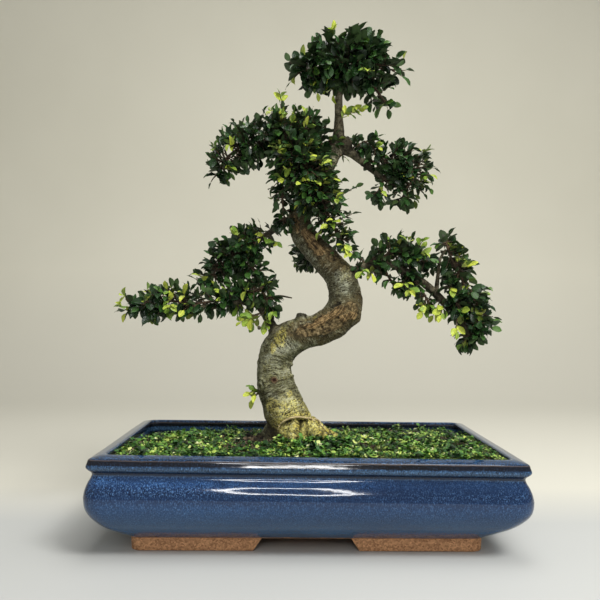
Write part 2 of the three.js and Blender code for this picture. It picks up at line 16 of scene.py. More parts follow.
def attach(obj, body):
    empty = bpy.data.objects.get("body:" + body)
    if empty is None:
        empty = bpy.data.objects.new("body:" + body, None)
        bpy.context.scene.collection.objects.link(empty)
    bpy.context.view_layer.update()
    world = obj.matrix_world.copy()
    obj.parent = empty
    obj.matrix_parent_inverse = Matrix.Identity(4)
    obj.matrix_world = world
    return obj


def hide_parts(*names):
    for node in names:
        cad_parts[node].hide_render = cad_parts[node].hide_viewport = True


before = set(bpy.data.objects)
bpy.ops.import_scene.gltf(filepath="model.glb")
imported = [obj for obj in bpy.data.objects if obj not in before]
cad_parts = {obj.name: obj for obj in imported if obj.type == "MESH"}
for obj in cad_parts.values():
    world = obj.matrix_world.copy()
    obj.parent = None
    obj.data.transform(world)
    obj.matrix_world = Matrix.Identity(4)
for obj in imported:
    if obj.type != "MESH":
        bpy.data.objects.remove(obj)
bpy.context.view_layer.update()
MM = 0.001
UP = Vector((0, 0, 1))
print("nodes:", len(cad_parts))

# %% [markdown]
# ## Small helpers for node materials
# A material is a graph. The helper adds one node, sets its values and joins its inputs in one
# call, so each finish below reads from its pattern to its colour. Spelling out every link by hand
# would work too, but would hide the idea behind bookkeeping. A finish is the graph of one material,
# closed with its colour, its roughness and the relief of its surface.


# %% Node graph helpers
class Graph:
    def __init__(self, tree):
        self.tree = tree

    def add(self, kind, inputs=None, **settings):
        node = self.tree.nodes.new("ShaderNode" + kind)
        for name, value in settings.items():
            setattr(node, name, value)
        for name, value in (inputs or {}).items():
            self.feed(node.inputs[name], value)
        return node

    def feed(self, socket, value):
        if isinstance(value, bpy.types.NodeSocket):
            self.tree.links.new(value, socket)
        else:
            socket.default_value = value

    def ramp(self, value, stops):
        node = self.add("ValToRGB", {"Fac": value})
        elements = node.color_ramp.elements
        while len(elements) < len(stops):
            elements.new(0.5)
        for element, (position, color) in zip(elements, stops):
            element.position = position
            element.color = (*color, 1)
        return node.outputs["Color"]

    def mix(self, share, first, second, blend="MIX"):
        node = self.add("Mix", data_type="RGBA", blend_type=blend, clamp_factor=True)
        for index, value in ((0, share), (6, first), (7, second)):
            if isinstance(value, tuple):
                value = (*value, 1)
            self.feed(node.inputs[index], value)
        return node.outputs[2]

    def tint(self, base, share, amount, color):
        return self.mix(self.times(share, amount), base, color)

    def math(self, operation, first, second=0):
        return self.add("Math", {0: first, 1: second}, operation=operation).outputs[0]

    def plus(self, first, second):
        return self.math("ADD", first, second)

    def times(self, first, second):
        return self.math("MULTIPLY", first, second)

    def scaled(self, value, factor, offset=0):
        return self.add("Math", {0: value, 1: factor, 2: offset}, operation="MULTIPLY_ADD").outputs[0]

    def rise(self, value, low, high):
        return self.add("MapRange", {"Value": value, "From Min": low, "From Max": high}).outputs["Result"]

    def stretched(self, vector, scale):
        return self.add("VectorMath", {0: vector, 1: scale}, operation="MULTIPLY").outputs[0]

    def split(self, vector):
        return self.add("SeparateXYZ", {"Vector": vector}).outputs

    def noise(self, vector, scale, detail=3, roughness=0.55):
        inputs = {"Vector": vector, "Scale": scale, "Detail": detail, "Roughness": roughness}
        return self.add("TexNoise", inputs).outputs["Fac"]

    def attribute(self, name, output="Fac"):
        return self.add("Attribute", attribute_name=name).outputs[output]


class Finish(Graph):
    def __init__(self, name):
        self.material = bpy.data.materials.new(name)
        self.material.use_nodes = True
        super().__init__(self.material.node_tree)
        self.place = self.add("TexCoord").outputs["Object"]

    def close(self, color, roughness, height=None, strength=0, depth=0, specular=0.5):
        values = {"Base Color": color, "Roughness": roughness, "Specular IOR Level": specular}
        if height is not None:
            inputs = {"Height": height, "Strength": strength, "Distance": depth}
            values["Normal"] = self.add("Bump", inputs).outputs["Normal"]
        for name, value in values.items():
            self.feed(self.tree.nodes["Principled BSDF"].inputs[name], value)
        return self.material


# %% [markdown]
# Grit, soil and terracotta all show pale and dark grains on a mottled ground. That effect is one
# node group, built once, which each material places with its own colours and grain.


# %% Shared grain group
def build_grain_group():
    group = bpy.data.node_groups.new("Grain", "ShaderNodeTree")
    socket = group.interface.new_socket
    socket("Vector", in_out="INPUT", socket_type="NodeSocketVector")
    for name, way in (("Grains per metre", "INPUT"), ("Mask", "OUTPUT"), ("Height", "OUTPUT")):
        socket(name, in_out=way, socket_type="NodeSocketFloat")
    graph = Graph(group)
    inputs = group.nodes.new("NodeGroupInput")
    outputs = group.nodes.new("NodeGroupOutput")
    vector, grains = inputs.outputs["Vector"], inputs.outputs["Grains per metre"]
    cells = graph.add("TexVoronoi", {"Vector": vector, "Scale": grains})
    shade = graph.add("SeparateColor", {"Color": cells.outputs["Color"]}).outputs[0]
    cloud = graph.noise(vector, graph.times(grains, 0.2))
    mask = graph.plus(graph.times(shade, 0.55), graph.times(cloud, 0.45))
    height = graph.math("SUBTRACT", 1, cells.outputs["Distance"])
    graph.feed(outputs.inputs["Mask"], mask)
    graph.feed(outputs.inputs["Height"], height)
    return group


GRAIN = build_grain_group()


def grain(graph, per_metre):
    node = graph.add("Group", node_tree=GRAIN)
    graph.feed(node.inputs["Vector"], graph.place)
    node.inputs["Grains per metre"].default_value = per_metre
    return node.outputs["Mask"], node.outputs["Height"]


# %% [markdown]
# ## Small helpers for meshes
# A finished mesh is handed over in one place: it gets its materials, rides on the imported body,
# hides the imported nodes it stands for and prints how many faces it has.


# %% Mesh helpers
def linked(name, data):
    thing = bpy.data.objects.new(name, data)
    bpy.context.scene.collection.objects.link(thing)
    return thing


def finish_piece(name, mesh, materials, replaces=(), smooth=True):
    piece = linked(name, mesh)
    for material in materials:
        mesh.materials.append(material)
    mesh.polygons.foreach_set("use_smooth", [smooth] * len(mesh.polygons))
    mesh.update()
    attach(piece, "root")
    if replaces:
        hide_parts(*replaces)
    triangles = sum(len(face.vertices) - 2 for face in mesh.polygons)
    print(f"{name}: {triangles} triangles")


def mesh_of(bm, name):
    mesh = bpy.data.meshes.new(name)
    bm.to_mesh(mesh)
    bm.free()
    return mesh


def evaluated_mesh(data, name, set_up=None):
    holder = linked(name, data)
    if set_up:
        set_up(holder)
    graph = bpy.context.evaluated_depsgraph_get()
    mesh = bpy.data.meshes.new_from_object(holder.evaluated_get(graph))
    bpy.data.objects.remove(holder)
    return mesh


def smoothstep(low, high, value):
    share = min(max((value - low) / (high - low), 0), 1)
    return share * share * (3 - 2 * share)


# %% [markdown]
# ## Routes
# Wood grows along curved lines. A route is a list of points with a radius, in millimetres, and a
# smooth curve through them carries a tube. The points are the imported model's own, so the fine
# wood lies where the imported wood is.


# %% Curves through route points
def spline_point(before, start, end, after, share):
    spans = [max((b - a).length ** 0.5, 1e-6) for a, b in ((before, start), (start, end), (end, after))]
    first, middle, last = spans
    lead = (start - before) / first - (end - before) / (first + middle) + (end - start) / middle
    tail = (end - start) / middle - (after - start) / (middle + last) + (after - end) / last
    lead, tail = lead * middle, tail * middle
    bend = -3 * start + 3 * end - 2 * lead - tail
    twist = 2 * start - 2 * end + lead + tail
    return start + lead * share + bend * share**2 + twist * share**3


def sample_route(route, step):
    points = [Vector(entry[:3]) for entry in route]
    radii = [entry[3] for entry in route]
    padded = [2 * points[0] - points[1], *points, 2 * points[-1] - points[-2]]
    samples = []
    for i in range(len(points) - 1):
        count = max(2, round((points[i + 1] - points[i]).length / step))
        for j in range(count):
            share = j / count
            place = spline_point(*padded[i : i + 4], share)
            radius = radii[i] + (radii[i + 1] - radii[i]) * share
            samples.append((place, radius))
    samples.append((points[-1], radii[-1]))
    return samples


def tubes_mesh(lines, rounds, name):
    curve = bpy.data.curves.new(name, "CURVE")
    curve.dimensions = "3D"
    curve.bevel_depth = MM
    curve.bevel_resolution = rounds
    curve.use_fill_caps = True
    for line in lines:
        spline = curve.splines.new("POLY")
        spline.points.add(len(line) - 1)
        for point, (place, radius) in zip(spline.points, line):
            point.co = (*(place * MM), 1)
            point.radius = radius
    return evaluated_mesh(curve, name)


# %% [markdown]
# ## Pot
# The pot is one piece of stoneware, pressed in a mould: a flat rim, a narrow neck, a full belly
# and four feet cut from one low ring. It could be a block with a rounded edge, but the belly has
# a double curve. So the wall is lofted: one rounded rectangle is extruded from height to height, up
# the outside, over the rim and down the inside, and set to its size at each. The profile lists a
# height, how far the outline lies inside the rim's size, and a corner radius. Long trays warp a
# little in the kiln: the right end of this one sits three millimetres low, its back left corner
# stands five millimetres out and its front right corner three.

# %% Pot sizes and rings
POT_HALF = (192.5, 120)
FOOT_TOP = 12
WALL_PROFILE = [
    (12, 31.2, 10), (13.5, 29, 12), (15.5, 25.8, 13), (18, 21.7, 14), (21.6, 16.3, 14), (25.3, 11.1, 15),
    (29, 7, 16), (32.8, 3.8, 16.6), (36.5, 1.1, 17), (40.2, -0.9, 17), (43.5, -2.1, 17), (47, -2.8, 17),
    (50.5, -3.1, 17), (54, -3.05, 16), (57, -2.6, 15.6), (59.5, -2, 15), (62, -1.2, 14.4), (64.5, -0.2, 13.6),
    (66.5, 0.7, 13), (68.2, 1.7, 12.4), (69.6, 2.5, 12), (71, 3.2, 11), (72.3, 3.7, 10), (73.4, 3.9, 10),
    (74.4, 3.85, 9), (75.4, 3.5, 9), (76.4, 2.8, 8), (77.5, 1.9, 7), (78.6, 1.15, 6.5), (79.6, 0.65, 6),
    (80.5, 0.4, 6), (81.4, 0.45, 6), (82.6, 0.8, 6), (84, 1.25, 6), (85.4, 1.6, 6), (86.4, 1.9, 6),
    (87.1, 2.5, 6), (87.6, 3.4, 6), (88.2, 5.4, 6), (88.9, 8.2, 6), (89.5, 11, 7), (89.8, 13, 8),
    (89.5, 14.2, 8), (88, 14.6, 8), (80, 14.6, 8), (74, 14.6, 8), (60, 10, 11), (42, 10, 13), (31, 16, 14),
    (25, 24, 13), (21, 34, 12),
]
DRAIN_X = 85
DRAIN_RADIUS = 14
CORNER_POINTS = 9
SIDE_SHARES = (0.012, 0.25, 0.5, 0.75, 0.988)
WARP_DROP = 3.6
LEFT_SPLAY = 5
RIGHT_SPLAY = 3
POT_FLOOR = 21


def rounded_outline(inset, corner):
    half_x, half_y = POT_HALF[0] - inset - corner, POT_HALF[1] - inset - corner
    centres = [(half_x, half_y), (-half_x, half_y), (-half_x, -half_y), (half_x, -half_y)]
    points = []
    for quarter, (x, y) in enumerate(centres):
        for i in range(CORNER_POINTS):
            angle = (quarter + i / (CORNER_POINTS - 1)) * math.pi / 2
            points.append(Vector((x + corner * math.cos(angle), y + corner * math.sin(angle))))
        next_x, next_y = centres[(quarter + 1) % 4]
        turned = (quarter + 1) * math.pi / 2
        start = points[-1]
        end = Vector((next_x + corner * math.cos(turned), next_y + corner * math.sin(turned)))
        points += [start.lerp(end, share) for share in SIDE_SHARES]
    return points


def leaned(x, y):
    far = smoothstep(-118, 118, y)
    return x - LEFT_SPLAY * far * smoothstep(0, -190, x) + RIGHT_SPLAY * (1 - far) * smoothstep(60, 190, x)


def warped(x, y, z):
    x += (leaned(x, y) - x) * smoothstep(14, 40, z)
    share = smoothstep(14, 70, z) * (x / POT_HALF[0] + 1) / 2 * (0.75 - 0.25 * y / POT_HALF[1])
    return Vector((x, y, z - WARP_DROP * share))


def place_ring(ring, z, inset, corner):
    for vert, place in zip(ring, rounded_outline(inset, corner)):
        vert.co = warped(place.x, place.y, z) * MM


def ring_edges(bm, ring):
    return [bm.edges.get((ring[i - 1], ring[i])) for i in range(len(ring))]


def loft(bm, levels):
    corners = len(rounded_outline(0, 10))
    ring = bmesh.ops.create_circle(bm, segments=corners, radius=1)["verts"]
    place_ring(ring, *levels[0])
    first = ring_edges(bm, ring)
    for level in levels[1:]:
        made = bmesh.ops.extrude_edge_only(bm, edges=ring_edges(bm, ring))["geom"]
        fresh = {vert.co.copy().freeze(): vert for vert in made if isinstance(vert, bmesh.types.BMVert)}
        ring = [fresh[vert.co.copy().freeze()] for vert in ring]
        place_ring(ring, *level)
    return first, ring_edges(bm, ring)


def drain_ring(bm, x, z):
    place = Matrix.Translation(Vector((x, 0, z)) * MM)
    ring = bmesh.ops.create_circle(bm, segments=28, radius=DRAIN_RADIUS * MM, matrix=place)["verts"]
    return ring_edges(bm, ring)


# %% Pot wall, floor and drain holes
def build_pot_wall():
    bm = bmesh.new()
    lowest, innermost = loft(bm, WALL_PROFILE)
    under = [drain_ring(bm, x, FOOT_TOP) for x in (-DRAIN_X, DRAIN_X)]
    over = [drain_ring(bm, x, POT_FLOOR) for x in (-DRAIN_X, DRAIN_X)]
    for low, high in zip(under, over):
        bmesh.ops.bridge_loops(bm, edges=low + high)
    bmesh.ops.triangle_fill(bm, use_beauty=True, edges=lowest + under[0] + under[1])
    bmesh.ops.triangle_fill(bm, use_beauty=True, edges=innermost + over[0] + over[1])
    bmesh.ops.recalc_face_normals(bm, faces=bm.faces)
    return bm


# %% [markdown]
# The feet are what is left of a low ring after a wide notch is cut through each side. One corner
# is cut with two slanting planes and mirrored twice, so all four are alike, and their edges are
# rounded as raw clay is when it is wiped before firing.


# %% Feet
def keep_side(bm, point, normal):
    geometry = bm.verts[:] + bm.edges[:] + bm.faces[:]
    cut = bmesh.ops.bisect_plane(
        bm, geom=geometry, plane_co=Vector(point) * MM, plane_no=Vector(normal), clear_inner=True
    )
    edges = [item for item in cut["geom_cut"] if isinstance(item, bmesh.types.BMEdge)]
    bmesh.ops.holes_fill(bm, edges=edges, sides=0)


def build_feet():
    bm = bmesh.new()
    loft(bm, [(0, 32.6, 10), (12.4, 32.1, 10), (12.4, 48, 6), (0, 47, 6), (0, 32.6, 10)])
    bmesh.ops.remove_doubles(bm, verts=bm.verts, dist=0.001 * MM)
    keep_side(bm, (48, 0, 0), (12, 0, 8))
    keep_side(bm, (0, 48, 0), (0, 12, 8))
    bmesh.ops.recalc_face_normals(bm, faces=bm.faces)
    sharp = [edge for edge in bm.edges if len(edge.link_faces) == 2 and edge.calc_face_angle() > 0.7]
    bmesh.ops.bevel(bm, geom=sharp, offset=0.9 * MM, segments=2, profile=0.5, affect="EDGES", material=-1)
    for axis in "XY":
        bmesh.ops.mirror(bm, geom=bm.verts[:] + bm.edges[:] + bm.faces[:], merge_dist=-1, axis=axis)
    bmesh.ops.recalc_face_normals(bm, faces=bm.faces)
    return bm


# %% [markdown]
# The glaze is a cobalt blue that ran in the kiln. It is thin and brown where the rim breaks, runs
# in fine pale streaks below the neck, pools dark at the shoulder and is calm and greyer on the
# belly. Its right side is darker. The feet were wiped clean, so they are bare orange clay. All
# this follows the height on the pot. The warp tilts the bands too, so the height is kept on the
# points as an attribute before the warp, and a noise shakes it so no line is straight.


# %% Glaze material
# Under the rim the bands also hold painted light: the paler blue-grey bead at 78 to 81 mm is a painted reflection
# of the floor, the near black band at 74 to 77 mm is painted shade and dark reflection in the groove, and the pale
# line at 73.5 mm is a painted highlight.
GLAZE_AND_REFLECTION_BANDS = [
    (12, (0.026, 0.07, 0.135)), (22, (0.034, 0.102, 0.215)), (30, (0.022, 0.07, 0.155)),
    (38, (0.02, 0.066, 0.16)), (48, (0.014, 0.05, 0.135)), (55, (0.006, 0.022, 0.07)),
    (60, (0.005, 0.017, 0.056)), (64, (0.008, 0.028, 0.092)), (68, (0.018, 0.064, 0.19)),
    (72.4, (0.014, 0.05, 0.145)), (73.5, (0.036, 0.068, 0.12)), (74.2, (0.004, 0.01, 0.026)),
    (77.0, (0.004, 0.01, 0.026)), (78.3, (0.024, 0.06, 0.115)), (80.5, (0.03, 0.072, 0.135)),
    (82, (0.014, 0.032, 0.066)), (82.8, (0.004, 0.004, 0.005)), (86.1, (0.004, 0.003, 0.003)),
    (86.7, (0.08, 0.058, 0.046)), (87.2, (0.004, 0.007, 0.016)), (88.6, (0.006, 0.016, 0.044)),
    (90, (0.016, 0.036, 0.08)),
]


def build_glaze():
    graph = Finish("Cobalt glaze")
    place, rise, times = graph.place, graph.rise, graph.times
    height = graph.attribute("level")
    shake = graph.noise(place, 90, 4)
    level = graph.plus(height, graph.scaled(shake, 0.0016, -0.0008))
    share = rise(level, GLAZE_AND_REFLECTION_BANDS[0][0] * MM, GLAZE_AND_REFLECTION_BANDS[-1][0] * MM)
    body = graph.ramp(share, [((z - 12) / 78, color) for z, color in GLAZE_AND_REFLECTION_BANDS])
    in_band = times(rise(level, 0.05, 0.064), rise(level, 0.0745, 0.0725))
    on_belly = times(rise(level, 0.02, 0.043), rise(level, 0.061, 0.052))
    on_top = rise(level, 0.0868, 0.0876)
    bead = times(rise(level, 0.0772, 0.0782), rise(level, 0.0828, 0.0818))
    busy = in_band
    for other in (graph.scaled(on_belly, 0.38), on_top, graph.scaled(bead, 0.7)):
        busy = graph.math("MAXIMUM", busy, other)
    fleck = rise(graph.noise(graph.stretched(place, (1150, 1150, 620)), 1, 2, 0.8), 0.53, 0.62)
    body = graph.tint(body, fleck, graph.scaled(busy, 0.7, 0.06), (0.13, 0.29, 0.58))
    dark = rise(graph.noise(graph.stretched(place, (900, 900, 520)), 1, 3, 0.8), 0.5, 0.38)
    body = graph.tint(body, dark, graph.scaled(busy, 0.9, 0.22), (0.002, 0.006, 0.018))
    cloud = rise(graph.noise(graph.stretched(place, (14, 14, 60)), 1), 0.6, 0.4)
    body = graph.tint(body, cloud, graph.scaled(in_band, 0.45, 0.18), (0.005, 0.016, 0.05))
    right = rise(graph.split(place)["X"], -0.09, 0.06)
    shade = times(right, graph.math("MAXIMUM", in_band, graph.scaled(on_belly, 0.5)))
    body = graph.tint(body, shade, 0.5, (0.003, 0.012, 0.038))
    clay_mask, clay_height = grain(graph, 700)
    clay = graph.ramp(clay_mask, [(0.2, (0.25, 0.115, 0.05)), (0.8, (0.62, 0.33, 0.16))])
    wiped = graph.math("SUBTRACT", height, graph.scaled(shake, 0.0022, 0.0118))
    glazed = rise(wiped, -0.0003, 0.0003)
    rough = graph.mix(glazed, (0.85, 0.85, 0.85), (0.07, 0.07, 0.07))
    relief = graph.mix(glazed, clay_height, graph.noise(place, 45, 2))
    return graph.close(graph.mix(glazed, clay, body), rough, relief, 0.2, 0.0006)


GLAZE = build_glaze()
pot_bm = build_pot_wall()
feet_mesh = mesh_of(build_feet(), "feet")
pot_bm.from_mesh(feet_mesh)
level_layer = pot_bm.verts.layers.float.new("level")
for vert in pot_bm.verts:
    x, y, z = vert.co / MM
    vert[level_layer] = (2 * z - warped(x, y, z).z) * MM
finish_piece("glazed_pot", mesh_of(pot_bm, "glazed_pot"), [GLAZE], ["pot"])

# %% [markdown]
# ## Drain screens and soil
# Squares of black plastic mesh keep the soil in over the drain holes. They and the soil below
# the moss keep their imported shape, because only a look through the holes shows them, and they get
# their own finishes.


# %% Plastic and soil materials
def build_screen_plastic():
    graph = Finish("Black mesh plastic")
    scuff = graph.noise(graph.place, 400)
    color = graph.ramp(scuff, [(0.3, (0.012, 0.012, 0.012)), (0.8, (0.035, 0.034, 0.032))])
    return graph.close(color, graph.rise(scuff, -0.2, 1.2), scuff, 0.2, 0.0003)


def build_soil():
    graph = Finish("Bonsai soil")
    mask, height = grain(graph, 420)
    stops = [(0.15, (0.008, 0.006, 0.004)), (0.45, (0.03, 0.018, 0.011)), (0.7, (0.075, 0.045, 0.026))]
    color = graph.ramp(mask, [*stops, (0.9, (0.16, 0.115, 0.075))])
    return graph.close(color, 0.92, height, 0.8, 0.0012)


SOIL = build_soil()
SCREEN = build_screen_plastic()
for node_name, material in (("soil", SOIL), ("drain_screen_left", SCREEN), ("drain_screen_right", SCREEN)):
    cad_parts[node_name].material_slots[0].material = material

# %% [markdown]
# ## Wood
# Roots, trunk and branches grew as one, so they are one mesh. Each route becomes a tube, and a
# voxel remesh melts the tubes together, which gives soft forks without any seam. Sculpting by
# hand would do it too, but would not give the same tree on every run. The limbs are the leader,
# the low and middle left branches, the low and upper right ones, the crown's left bough, the rear
# branch and a stub.

# %% Routes of the trunk, branches and roots
TRUNK = [
    (-11, 2, 66, 29), (-14, 1, 88, 26), (-17, 0, 105, 23.2), (-22.3, 0, 115.5, 21.8), (-25.6, 1, 126, 20.4),
    (-30.5, 3, 137, 20.1), (-33, 4, 150, 18.4), (-33.2, 4, 163, 17.6), (-29.5, 3, 176, 18.6),
    (-18, 1, 189, 18.8), (-2, -1, 195.5, 16.8), (14, -3, 200, 17), (30, -5, 209, 18), (40, -6, 224, 18),
    (39, -5, 241, 16.6), (33, -4, 257, 15.8), (21, -2, 271, 14.6), (8, 1, 285, 13.6), (-3, 4, 299, 13),
    (-8, 5, 316, 12.2), (-4, 4, 335, 11), (8, 0, 356, 10), (24, -5, 377, 9), (29, -6, 388, 7.6),
]
LIMBS = [
    [
        (18, -3, 368, 8), (32, -7, 398, 6.6), (33, -8, 420, 4.6), (33, -9, 442, 4), (36, -12, 465, 3),
        (40, -14, 484, 2),
    ],
    [
        (-28, 2, 188, 9), (-36, 0, 203, 5.4), (-44, -2, 217, 4.6), (-53, -5, 226, 4), (-69, -8, 228, 3.4),
        (-90, -11, 223, 3), (-112, -12, 222, 2.6), (-130, -12, 224, 2.1),
    ],
    [(-6, 5, 309, 6), (-18, 6, 315, 4), (-41, 7, 300, 3.3), (-56, 8, 290, 2.6)],
    [
        (36, -5, 248, 9), (51, -6, 260, 5.4), (64, -8, 266, 4.6), (83, -10, 268, 4), (98, -11, 262, 3.9),
        (112, -11, 254, 4), (126, -12, 243, 4.3), (138, -13, 231, 4.2), (151, -14, 216, 3.7),
        (162, -14, 203, 3.1), (171, -14, 191, 2.2),
    ],
    [
        (24, -5, 380, 7.5), (37, -5, 388, 6.4), (47, -4, 384, 5), (58, -2, 376, 4.2), (71, 0, 366, 3.6),
        (84, 2, 357, 2.8), (96, 3, 350, 2),
    ],
    [(8, -1, 358, 8), (-2, -4, 378, 6), (-16, -5, 391, 5), (-34, -6, 395, 4), (-50, -6, 394, 3)],
    [(22, -2, 268, 9), (18, 16, 273, 5.8), (11, 34, 277, 4.4), (3, 52, 280, 3.2), (-1, 62, 282, 2.6)],
    [(-12, -3, 202, 4.4), (-8, -5, 211, 3.4), (-5, -6, 216, 2.4)],
]
GRAFT_RIDGE = [
    (-27, -15, 99, 1.8), (-22, -19, 106, 2), (-12, -22, 110.5, 2.2), (-2, -20, 109.5, 2), (6, -13, 104, 1.8),
]
ROOTS = [
    [(-13, -14, 108, 5), (-12, -22, 101, 6), (-13, -26, 92, 5.8), (-14, -29, 80, 4)],
    [(2, -13, 101.5, 8), (9, -16, 96.5, 8.2), (20, -17, 92.5, 7.4), (31, -16, 87, 6.4), (42, -14, 79, 4)],
    [(3, 8, 101, 10), (17, 15, 90, 7.5), (36, 25, 74, 4.5)],
    [(-29, -2, 103, 10), (-35, -6, 91, 7.5), (-43, -9, 74, 4.5)],
    [(-26, 14, 104, 10), (-37, 24, 92, 7.5), (-52, 38, 74, 4)],
    [(-8, 18, 104, 9), (-5, 31, 92, 7), (1, 48, 74, 4)],
]
THIN_LIMBS = [
    [(133, -13, 238, 2.6), (135, -13, 256, 1.9), (137, -14, 272, 1.5), (143, -14, 282, 1.2)],
    [(-50, -4, 224, 2), (-42, -5, 231, 1.3), (-28, -5, 234, 1.1), (-15, -5, 232, 0.7)],
]
SWELLINGS = [
    (40, -8, 393, 7.5), (46, -11, 214, 11), (-7, -9, 213, 4), (-2, -8, 214, 2.6),
    (-15, -4, 163, 2.4), (-14.5, -5, 151, 2.6), (-49, -4, 201, 2.6),
]
VOXEL = 1.15 * MM
ROOTS_TOP = 116
THICK = 20
SMOOTHINGS = 3


# %% Melt the tubes into one mesh
def melted_wood():
    lines = [sample_route(route, 3) for route in [TRUNK, *LIMBS, GRAFT_RIDGE, *ROOTS]]
    bm = bmesh.new()
    bm.from_mesh(tubes_mesh(lines, 10, "limb_tubes"))
    for x, y, z, radius in SWELLINGS:
        place = Matrix.Translation(Vector((x, y, z)) * MM)
        bmesh.ops.create_icosphere(bm, subdivisions=3, radius=radius * MM, matrix=place)

    def add_remesh(holder):
        modifier = holder.modifiers.new("Melt", "REMESH")
        modifier.mode = "VOXEL"
        modifier.voxel_size = VOXEL

    return evaluated_mesh(mesh_of(bm, "limbs"), "melted", add_remesh)


wood_bm = bmesh.new()
wood_bm.from_mesh(melted_wood())
for _ in range(SMOOTHINGS):
    axes = {f"use_axis_{axis}": True for axis in "xyz"}
    bmesh.ops.smooth_vert(wood_bm, verts=wood_bm.verts, factor=0.5, **axes)
print("melted wood:", len(wood_bm.verts), "points")

# %% [markdown]
# Bark runs round a limb, so its pattern has to follow the limb through every bend. For each point
# of the mesh the nearest place on a route is found, and the point is unrolled: how far it lies
# along the route, and which way out from it. The numbers are kept as attributes for the shader,
# and the same numbers shape wrinkles and scars in the mesh.


# %% Route guide for the bark
def route_guide():
    places = []
    for route in [TRUNK, *LIMBS, *ROOTS]:
        samples = sample_route(route, 2.5)
        side = Vector((0, 1, 0))
        along = 0
        for i, (place, radius) in enumerate(samples):
            ahead = samples[min(i + 1, len(samples) - 1)][0] - samples[max(i - 1, 0)][0]
            ahead.normalize()
            side = (side - ahead * side.dot(ahead)).normalized()
            if i:
                along += (place - samples[i - 1][0]).length
            places.append((place, radius, ahead, side, along))
    return places


GUIDE = route_guide()
guide_tree = kdtree.KDTree(len(GUIDE))
for index, entry in enumerate(GUIDE):
    guide_tree.insert(entry[0], index)
guide_tree.balance()


def unrolled(point):
    best = min(guide_tree.find_n(point, 10), key=lambda hit: hit[2] / GUIDE[hit[1]][1])
    place, radius, ahead, side, along = GUIDE[best[1]]
    offset = point - place
    return Vector((offset.dot(side), offset.dot(ahead.cross(side)), along + offset.dot(ahead))), radius


# %% [markdown]
# Old wounds show bare dead wood: one along the front of the flat bend, one up the front of the
# upper trunk and a small one at its side. They are brown and pitted, with raised orange lips.
# Yellow lichen grows in patches and thickly low on the trunk, and a closed knot looks out like an eye.
# The shaded left side of its foot is painted dark as shade, the crevices under the graft lip, between
# the roots and at the flat bend are dented and painted dark as shade, and the stub ends in a dark nub.
# Each spot is a capsule in space: what lies in it is shaped in the mesh and coloured by the shader.
# Painting them by hand would not survive a change of form.
# Two masks share one number: above zero the bark is weathered brown, below zero it is pale and
# smooth, and at minus two it is the tan lip of the graft. The vector noise that makes the edges
# ragged takes its start from the clock unless it gets a seed, so it gets one.

# %% Spots on the bark
DEAD_WOOD = [
    ((-4, -20, 199), (16, -21, 202), 9.5), ((16, -21, 203), (32, -24, 211), 11.5),
    ((34, -24, 210), (46, -24, 219), 10.5), ((2, -9, 296), (13, -14, 281), 7.5),
    ((17, -16, 286), (27, -18, 274), 6.5), ((-12, -6, 317), (-10, -8, 301), 3.6),
]
ORANGE_WOOD = [
    ((-8, -19, 201), (6, -19, 204), 3.6), ((6, -19, 204), (16, -20, 209), 4.4),
    ((16, -20, 209), (35, -22, 221), 5.4), ((0, -9, 299), (13, -14, 280), 6.2),
    ((19, -16, 286), (28, -18, 275), 3.4), ((38, -24, 210), (46, -24, 214), 5.5),
    ((-12, -6, 317), (-10, -8, 302), 2.6),
]
LICHEN = [
    ((-26, -16, 196), (-28, -17, 188), 8.5), ((-34, -14, 183), (-34, -14, 178), 4.5),
    ((-38, -19, 122), (-14, -22, 115), 10.5), ((-18, -20, 140), (-8, -19, 124), 6.5),
    ((0, -14, 212), (8, -16, 214), 4),
]
# Painted shade on the shaded left side of the trunk's foot (first and third capsule); the second capsule is the
# dark nub on the stub.
SHADE_AND_DARK_NUB = [
    ((-48, -8, 99), (-30, -20, 88), 11), ((-8, -12, 216), (-3, -8, 216), 5), ((-44, 0, 110), (-40, -4, 96), 7),
]
WEATHERED = [
    ((-6, -16, 199), (16, -16, 197), 17), ((16, -16, 200), (44, -18, 214), 22),
    ((-2, -9, 300), (30, -14, 270), 17), ((50, -8, 232), (46, -10, 212), 15),
    ((-10, -4, 330), (-4, -6, 300), 14),
]
PALE = [
    ((-38, -17, 168), (-28, -18, 158), 10), ((-35, -19, 129), (-28, -20, 121), 8),
    ((-20, -18, 176), (-12, -18, 182), 8), ((-13, -6, 296), (8, -14, 267), 5.5),
    ((38, -22, 240), (33, -20, 254), 6),
]
CREVICE = [
    ((16, -10, 216), (33, -22, 226), 2.2), ((33, -22, 226), (52, -12, 225), 2.2),
    ((-25, -20, 101.5), (-18, -23, 107.2), 1.5), ((-18, -23, 107.2), (-6, -21, 109), 1.7),
    ((-6, -21, 109), (7, -14, 105), 1.5), ((-5, -20, 107), (-5, -26, 94), 2.3),
]
NOISE_SEED = 7
noise.seed_set(NOISE_SEED)
KNOT = Vector((-32.8, -15.5, 148))
HEALED_KNOT = Vector((-46, -7, 141))


def capsule_share(point, start, end, radius):
    start, end = Vector(start), Vector(end)
    span = end - start
    share = min(max((point - start).dot(span) / span.length_squared, 0), 1)
    distance = (point - start - span * share).length
    return 1 - smoothstep(0.62, 1, distance / radius)


def inside_share(point, spots):
    return max(capsule_share(point, *spot) for spot in spots)


